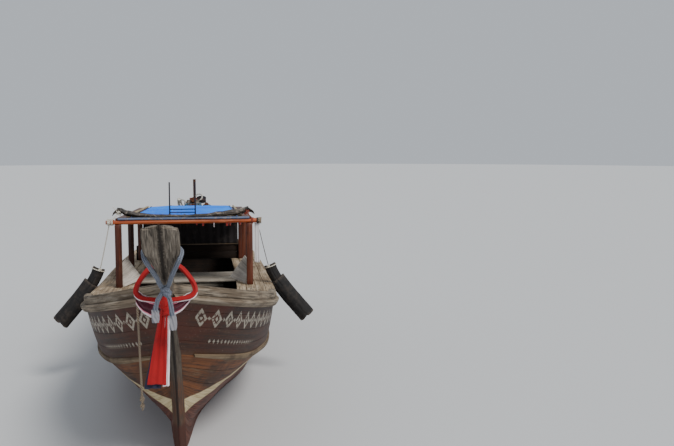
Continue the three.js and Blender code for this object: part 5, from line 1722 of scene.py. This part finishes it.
def make_engine_block():
    """Crankcase with sump, covers, flywheel housing, pulley, dynamo and starter."""
    shape = Shape()
    slab(shape, (-.150, -.820, .034), (.150, -.180, .200), .012)
    slab(shape, (-.158, -.826, .022), (.158, -.174, .034), .003)
    slab(shape, (-.126, -.800, -.0397), (.126, -.200, .024), .018)
    slab(shape, (-.112, -.836, .010), (.112, -.818, .190), .006)
    bolts(shape, [(x, -.836, z) for x in (-.095, .095) for z in (.035, .10, .168)], FORE, .007, .006)
    for side in (-1, 1):
        for y in (-.76, -.62, -.48, -.34, -.22):
            slab(shape, (min(side * .149, side * .157), y - .007, .045),
                 (max(side * .149, side * .157), y + .007, .192), .003)
        for y in (-.69, -.55, -.41, -.28):
            lathe(shape, (side * .149, y, .135), (side, 0, 0),
                  [(0, .026), (.004, .026), (.0045, .020), (.002, .018)], 20)
            bolts(shape, [(side * .158, y, .028)], (side, 0, 0), .005, .004)
        x0, x1 = sorted((side * .120, side * .228))
        for y0, y1 in ((-.760, -.700), (-.300, -.240)):
            slab(shape, (x0, y0, -.0397), (x1, y1, -.014), .005)
            slab(shape, (min(side * .120, side * .150), y0 + .012, -.018),
                 (max(side * .120, side * .150), y1 - .012, .020), .005)
            bolts(shape, [(side * .200, (y0 + y1) / 2, -.014)], UP, .011, .010)
    lathe(shape, (0, -.205, SHAFT_Z), AFT, [(0, .150), (0, .163), (.002, .165), (.013, .165), (.015, .158),
            (.066, .150), (.092, .118), (.106, .066), (.110, .050)], 48)
    bolts(shape, wheel(0, -.190, SHAFT_Z, .155, (k * pi / 6 + .2 for k in range(12))), AFT, .006, .006)
    bolts(shape, wheel(0, -.112, SHAFT_Z, .048, (k * pi / 3 for k in range(6))), AFT, .006, .005)
    groove = [(0, .030), (0, .086), (.002, .088), (.008, .088), (.015, .076), (.019, .076), (.026, .088),
              (.032, .088), (.034, .086), (.034, .030)]
    lathe(shape, (0, -.863, .090), AFT, groove, 40, 2)
    bolts(shape, [(0, -.863, .090)], FORE, .016, .012)
    lathe(shape, (0, -.832, .090), AFT, [(0, .040), (.03, .040)], 20, 2)
    # Dynamo on its bracket, with a pulley in line with the others
    slab(shape, (.120, -.680, .130), (.200, -.600, .190), .008)
    lathe(shape, (.245, -.715, .165), AFT, [(0, .020), (0, .052), (.010, .070), (.012, .078), (.046, .078),
            (.049, .071), (.060, .071), (.063, .078), (.136, .078), (.147, .060), (.150, .020)], 32, 3)
    bolts(shape, wheel(.245, -.712, .165, .060, (k * pi / 2 + .5 for k in range(4))), FORE, .005, .004)
    lathe(shape, (.245, -.862, .165), AFT, [(0, .012), (0, .036), (.008, .036), (.013, .028), (.018, .028),
            (.024, .036), (.032, .036), (.034, .012), (.148, .012)], 24, 2)
    drive_belt(shape, ((0, .090, .078), (.245, .165, .030), (0, .262, .038)), -.846, 4)
    lathe(shape, (-.190, -.460, .070), AFT, [(0, .020), (.004, .036), (.010, .040), (.120, .040), (.124, .046),
            (.150, .046), (.156, .030), (.200, .024)], 24, 5)
    lathe(shape, (-.152, -.600, .075), (-1, 0, -.25),
          [(0, .030), (.004, .036), (.060, .036), (.068, .030), (.071, .012)], 20, 6)
    shape.turned(ENGINE).build("engine_crankcase", "long_tail", (
        "paint", "bolt", "rust", "head", "belt", "black_steel", "bright"), "engine_paint", ["engine_block"], 34)


def make_engine_head():
    """Cylinder head with its cover, air filter, white pipes and pump."""
    shape = Shape()
    slab(shape, (-.110, -.800, .2003), (.110, -.220, .282), .008)
    slab(shape, (-.118, -.806, .262), (.118, -.214, .272), .003)
    slab(shape, (-.070, -.770, .280), (.070, -.250, .340), .022, 2)
    for y in (-.70, -.58, -.46, -.34):
        slab(shape, (-.056, y - .006, .336), (.056, y + .006, .344), .003, 2)
        slab(shape, (-.128, y - .026, .214), (-.108, y + .026, .256), .006)
        slab(shape, (.108, y - .026, .214), (.128, y + .026, .256), .006)
        lathe(shape, (.050, y + .05, .300), (.5, 0, 1), [(0, .009), (.020, .009), (.022, .006), (.045, .006)], 12,
              1)
        pipe(shape, [(-.120, y, .262), (-.150, y - .01, .300), (-.168, -.52 + .02 * y, .268),
                     (-.165, -.50, .165)], .0045, 1, False)
    bolts(shape, [(x, y, .282) for x in (-.092, .092) for y in (-.76, -.64, -.52, -.40, -.28)], UP, .008, .008)
    lathe(shape, (0, -.292, .338), UP, [(0, .026), (.004, .028), (.016, .028), (.020, .024)], 14, 3)
    slab(shape, (.072, -.590, .250), (.150, -.530, .326), .010, 4)
    lathe(shape, (.150, -.560, .324), UP, [(0, .040), (.001, .082), (.006, .088), (.014, .088), (.016, .081),
            (.078, .081), (.081, .088), (.090, .088), (.094, .080), (.096, .010)], 40, 5)
    lathe(shape, (.150, -.560, .419), UP, [(0, .012), (.004, .012), (.012, .005), (.014, .003)], 10, 1)
    for k in range(12):
        turn = TURN * k / 12
        a = Vector((.150 + .083 * cos(turn), -.560 + .083 * sin(turn), .343))
        sweep(shape, [a, a + Vector((0, 0, .056))], circle(.0035, 6), mark=5)
    # White-painted pipes: one from the cooling water's outlet and one beside it
    pipe(shape, [(-.108, -.330, .245), (-.170, -.330, .245), (-.258, -.370, .300), (-.282, -.520, .350),
                 (-.266, -.700, .330)], .0255, 6, steps=60)
    pipe(shape, [(-.120, -.480, .240), (-.190, -.490, .262), (-.232, -.560, .312), (-.226, -.700, .318),
                 (-.160, -.788, .268), (-.112, -.770, .240)], .016, 6, steps=60)
    pipe(shape, [(.100, -.740, .270), (.160, -.750, .330), (.150, -.720, .410), (.075, -.690, .430),
                 (.020, -.660, .350)], .012, 6, steps=50)
    pipe(shape, [(.062, -.300, .330), (.066, -.300, .360), (.068, -.325, .440), (.070, -.360, .510)], .011, 6,
         steps=30)
    lathe(shape, (0, -.806, .262), FORE, [(0, .052), (.012, .050), (.020, .030), (.024, .014), (.028, .014),
            (.0285, .044), (.034, .044), (.038, .036), (.042, .036), (.047, .044), (.054, .044), (.056, .020)],
          28, 7)
    shape.turned(ENGINE).build("engine_top", "long_tail",
            ("head", "bolt", "red_paint", "belt", "paint", "black_steel", "bright", "rust"), "engine_metal",
            ["engine_head"], 34)


def make_tail():
    """Round tube with its collar and fin, and the three-bladed propeller behind it."""
    shape = Shape()
    lathe(shape, (0, 0, SHAFT_Z), AFT, [(-.094, .031), (-.091, .034), (TAIL_END - .003, .034),
            (TAIL_END, .031)], 32)
    lathe(shape, (0, 0, SHAFT_Z), AFT, [(.212, .0345), (.2125, .058), (.2145, .060), (.2595, .060),
            (.2615, .058), (.262, .0345)], 40)
    middle = sum((Vector(p) for p in SKEG), Vector((0, 0))) / len(SKEG)
    rings = []
    for x, share in ((-.005, .985), (-.0035, 1), (.0035, 1), (.005, .985)):
        rings.append([Vector((x, TAIL_END + q.x, SHAFT_Z + q.y))
                      for q in (middle + (Vector(p) - middle) * share for p in SKEG)])
    shape.loft(rings)
    shape.turned(ENGINE).build("tail_shaft", "long_tail", "zinc", "galvanised_steel", ["tail_tube"])
    shape = Shape()
    start = TAIL_END + CLEAR
    lathe(shape, (0, start, SHAFT_Z), AFT, [(0, .030), (.002, .0335), (.030, .0322), (.060, .0292),
            (.080, .0262), (.088, .0240), (.090, .019)], 32)
    steps = even([(r, half, pitch / 1000) for r, half, pitch in BLADE], 18)
    for k in range(3):
        place = Matrix.Translation((0, start + .050, SHAFT_Z)) @ Matrix.Rotation(TURN * k / 3, 4, "Y")
        rings = []
        for r, half, pitch in steps:
            c, s = cos(radians(pitch * 1000)), sin(radians(pitch * 1000))
            ring = []
            for j in range(16):
                turn = TURN * j / 16
                across, thick = half * cos(turn), .0034 * sin(turn)
                ring.append(place @ Vector((r, across * s + thick * c, across * c - thick * s)))
            rings.append(ring)
        shape.loft(rings)
    shape.turned(ENGINE).build("propeller_blades", "screw", "bronze", "bronze", ["propeller"], 50)


def make_engine_fittings():
    """Bolts, clamps, grip and bearings on the frame, the yoke, the tiller and the tail."""
    shape = Shape()
    for side in (-1, 1):
        bolts(shape, [(side * .200, y, -.040) for y in (-.930, -.60, -.42, .235)], UP, .009, .008, 0)
        bolts(shape, [(side * .222, y, -.070) for y in (-.935, -.50, 0, .235)], (side, 0, 0), .009, .008, 0)
        line_between(shape, (side * .190, .215, -.046), (side * .02, .215, .045), 0, .009, 0)
    for y in (-.055, 1.05, 2.20, 3.30):
        lathe(shape, (0, y, SHAFT_Z), AFT, [(0, .0345), (.002, .0395), (.028, .0395), (.030, .0345)], 28)
        bolts(shape, [(0, y + .015, SHAFT_Z + .039)], UP, .007, .007, 0)
    lathe(shape, (0, 3.715, SHAFT_Z), AFT, [(0, .0345), (.006, .042), (.070, .042), (.078, .0345)], 28, 2)
    bolts(shape, wheel(0, .212, SHAFT_Z, .060, (k * pi / 3 + .3 for k in range(6))), FORE, .006, .006, 0)
    grip = even([(0, -1.480, -.250), (0, -1.400, -.222), (0, -1.300, -.186)], 26)
    for k in range(3):
        lathe(shape, grip[0], grip[1] - grip[0], [(-.004, .012), (.0, .021), (.004, .022)], 16, 1)
    sweep(shape, grip, circle(.0215, 16), mark=1, scale=lambda t: 1 + .05 * cos(t * 75))
    cable = [(.024, -1.34, -.196), (.026, -1.20, -.140), (.024, -1.06, -.072), (.060, -.96, .02),
             (.118, -.80, .16), (.120, -.62, .262)]
    pipe(shape, cable, .0045, 1, False, 60)
    lathe(shape, (.020, -.570, .768), (0, -.42, .9), [(0, .0262), (.002, .029), (.014, .029), (.016, .0262)],
          20, 2)
    lathe(shape, (.020, -.400, .3405), UP, [(0, .046), (.010, .046), (.011, .027)], 24, 2)
    bolts(shape, [(.020 + .036 * cos(a), -.400 + .036 * sin(a), .350) for a in (.5, 2.6, 4.7)], UP,
          .006, .006, 0)
    shape.turned(ENGINE).build("tail_fittings", "long_tail", ["bolt", "belt", "rust"], "rusty_steel",
                               (), 36)
    shape = Shape()
    low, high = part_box("engine_yoke")
    for side in (-1, 1):
        x = side * high.x
        bolts(shape, [(x, PIVOT.y, PIVOT.z)], (side, 0, 0), .022, .014, 0)
        bolts(shape, [(x, y, low.z + .028) for y in (4.175, 4.225)], (side, 0, 0), .008, .007, 0)
    for side in (1, -1):
        bolts(shape, [(.102 * cos(a), PIVOT.y + .102 * sin(a), low.z + .0235) for a in
                      (side * pi / 2 + k * .38 for k in (-1, 0, 1))], UP, .008, .006, 0)
    shape.build("yoke_bolts", "yoke", "bolt", "rusty_steel", (), 36)


make_camera()
make_rope()
make_stage()
for name, finish, slot in (("bottom_planks", "bottom", "bottom_wood"), ("side_planks", "lower", "oiled_wood"),
                           ("topside_planks", "topside", "dark_varnished_wood")):
    hull_side(name, finish, slot)
make_stem()
make_keel_and_transom()
make_strakes()
make_rails()
make_decks()
make_inside()
make_posts()
make_front_pole()
make_roof()
make_blue_tarp()
make_black_tarp()
make_rack()
make_curtains()
make_fenders()
make_sash()
make_garland()
make_engine()
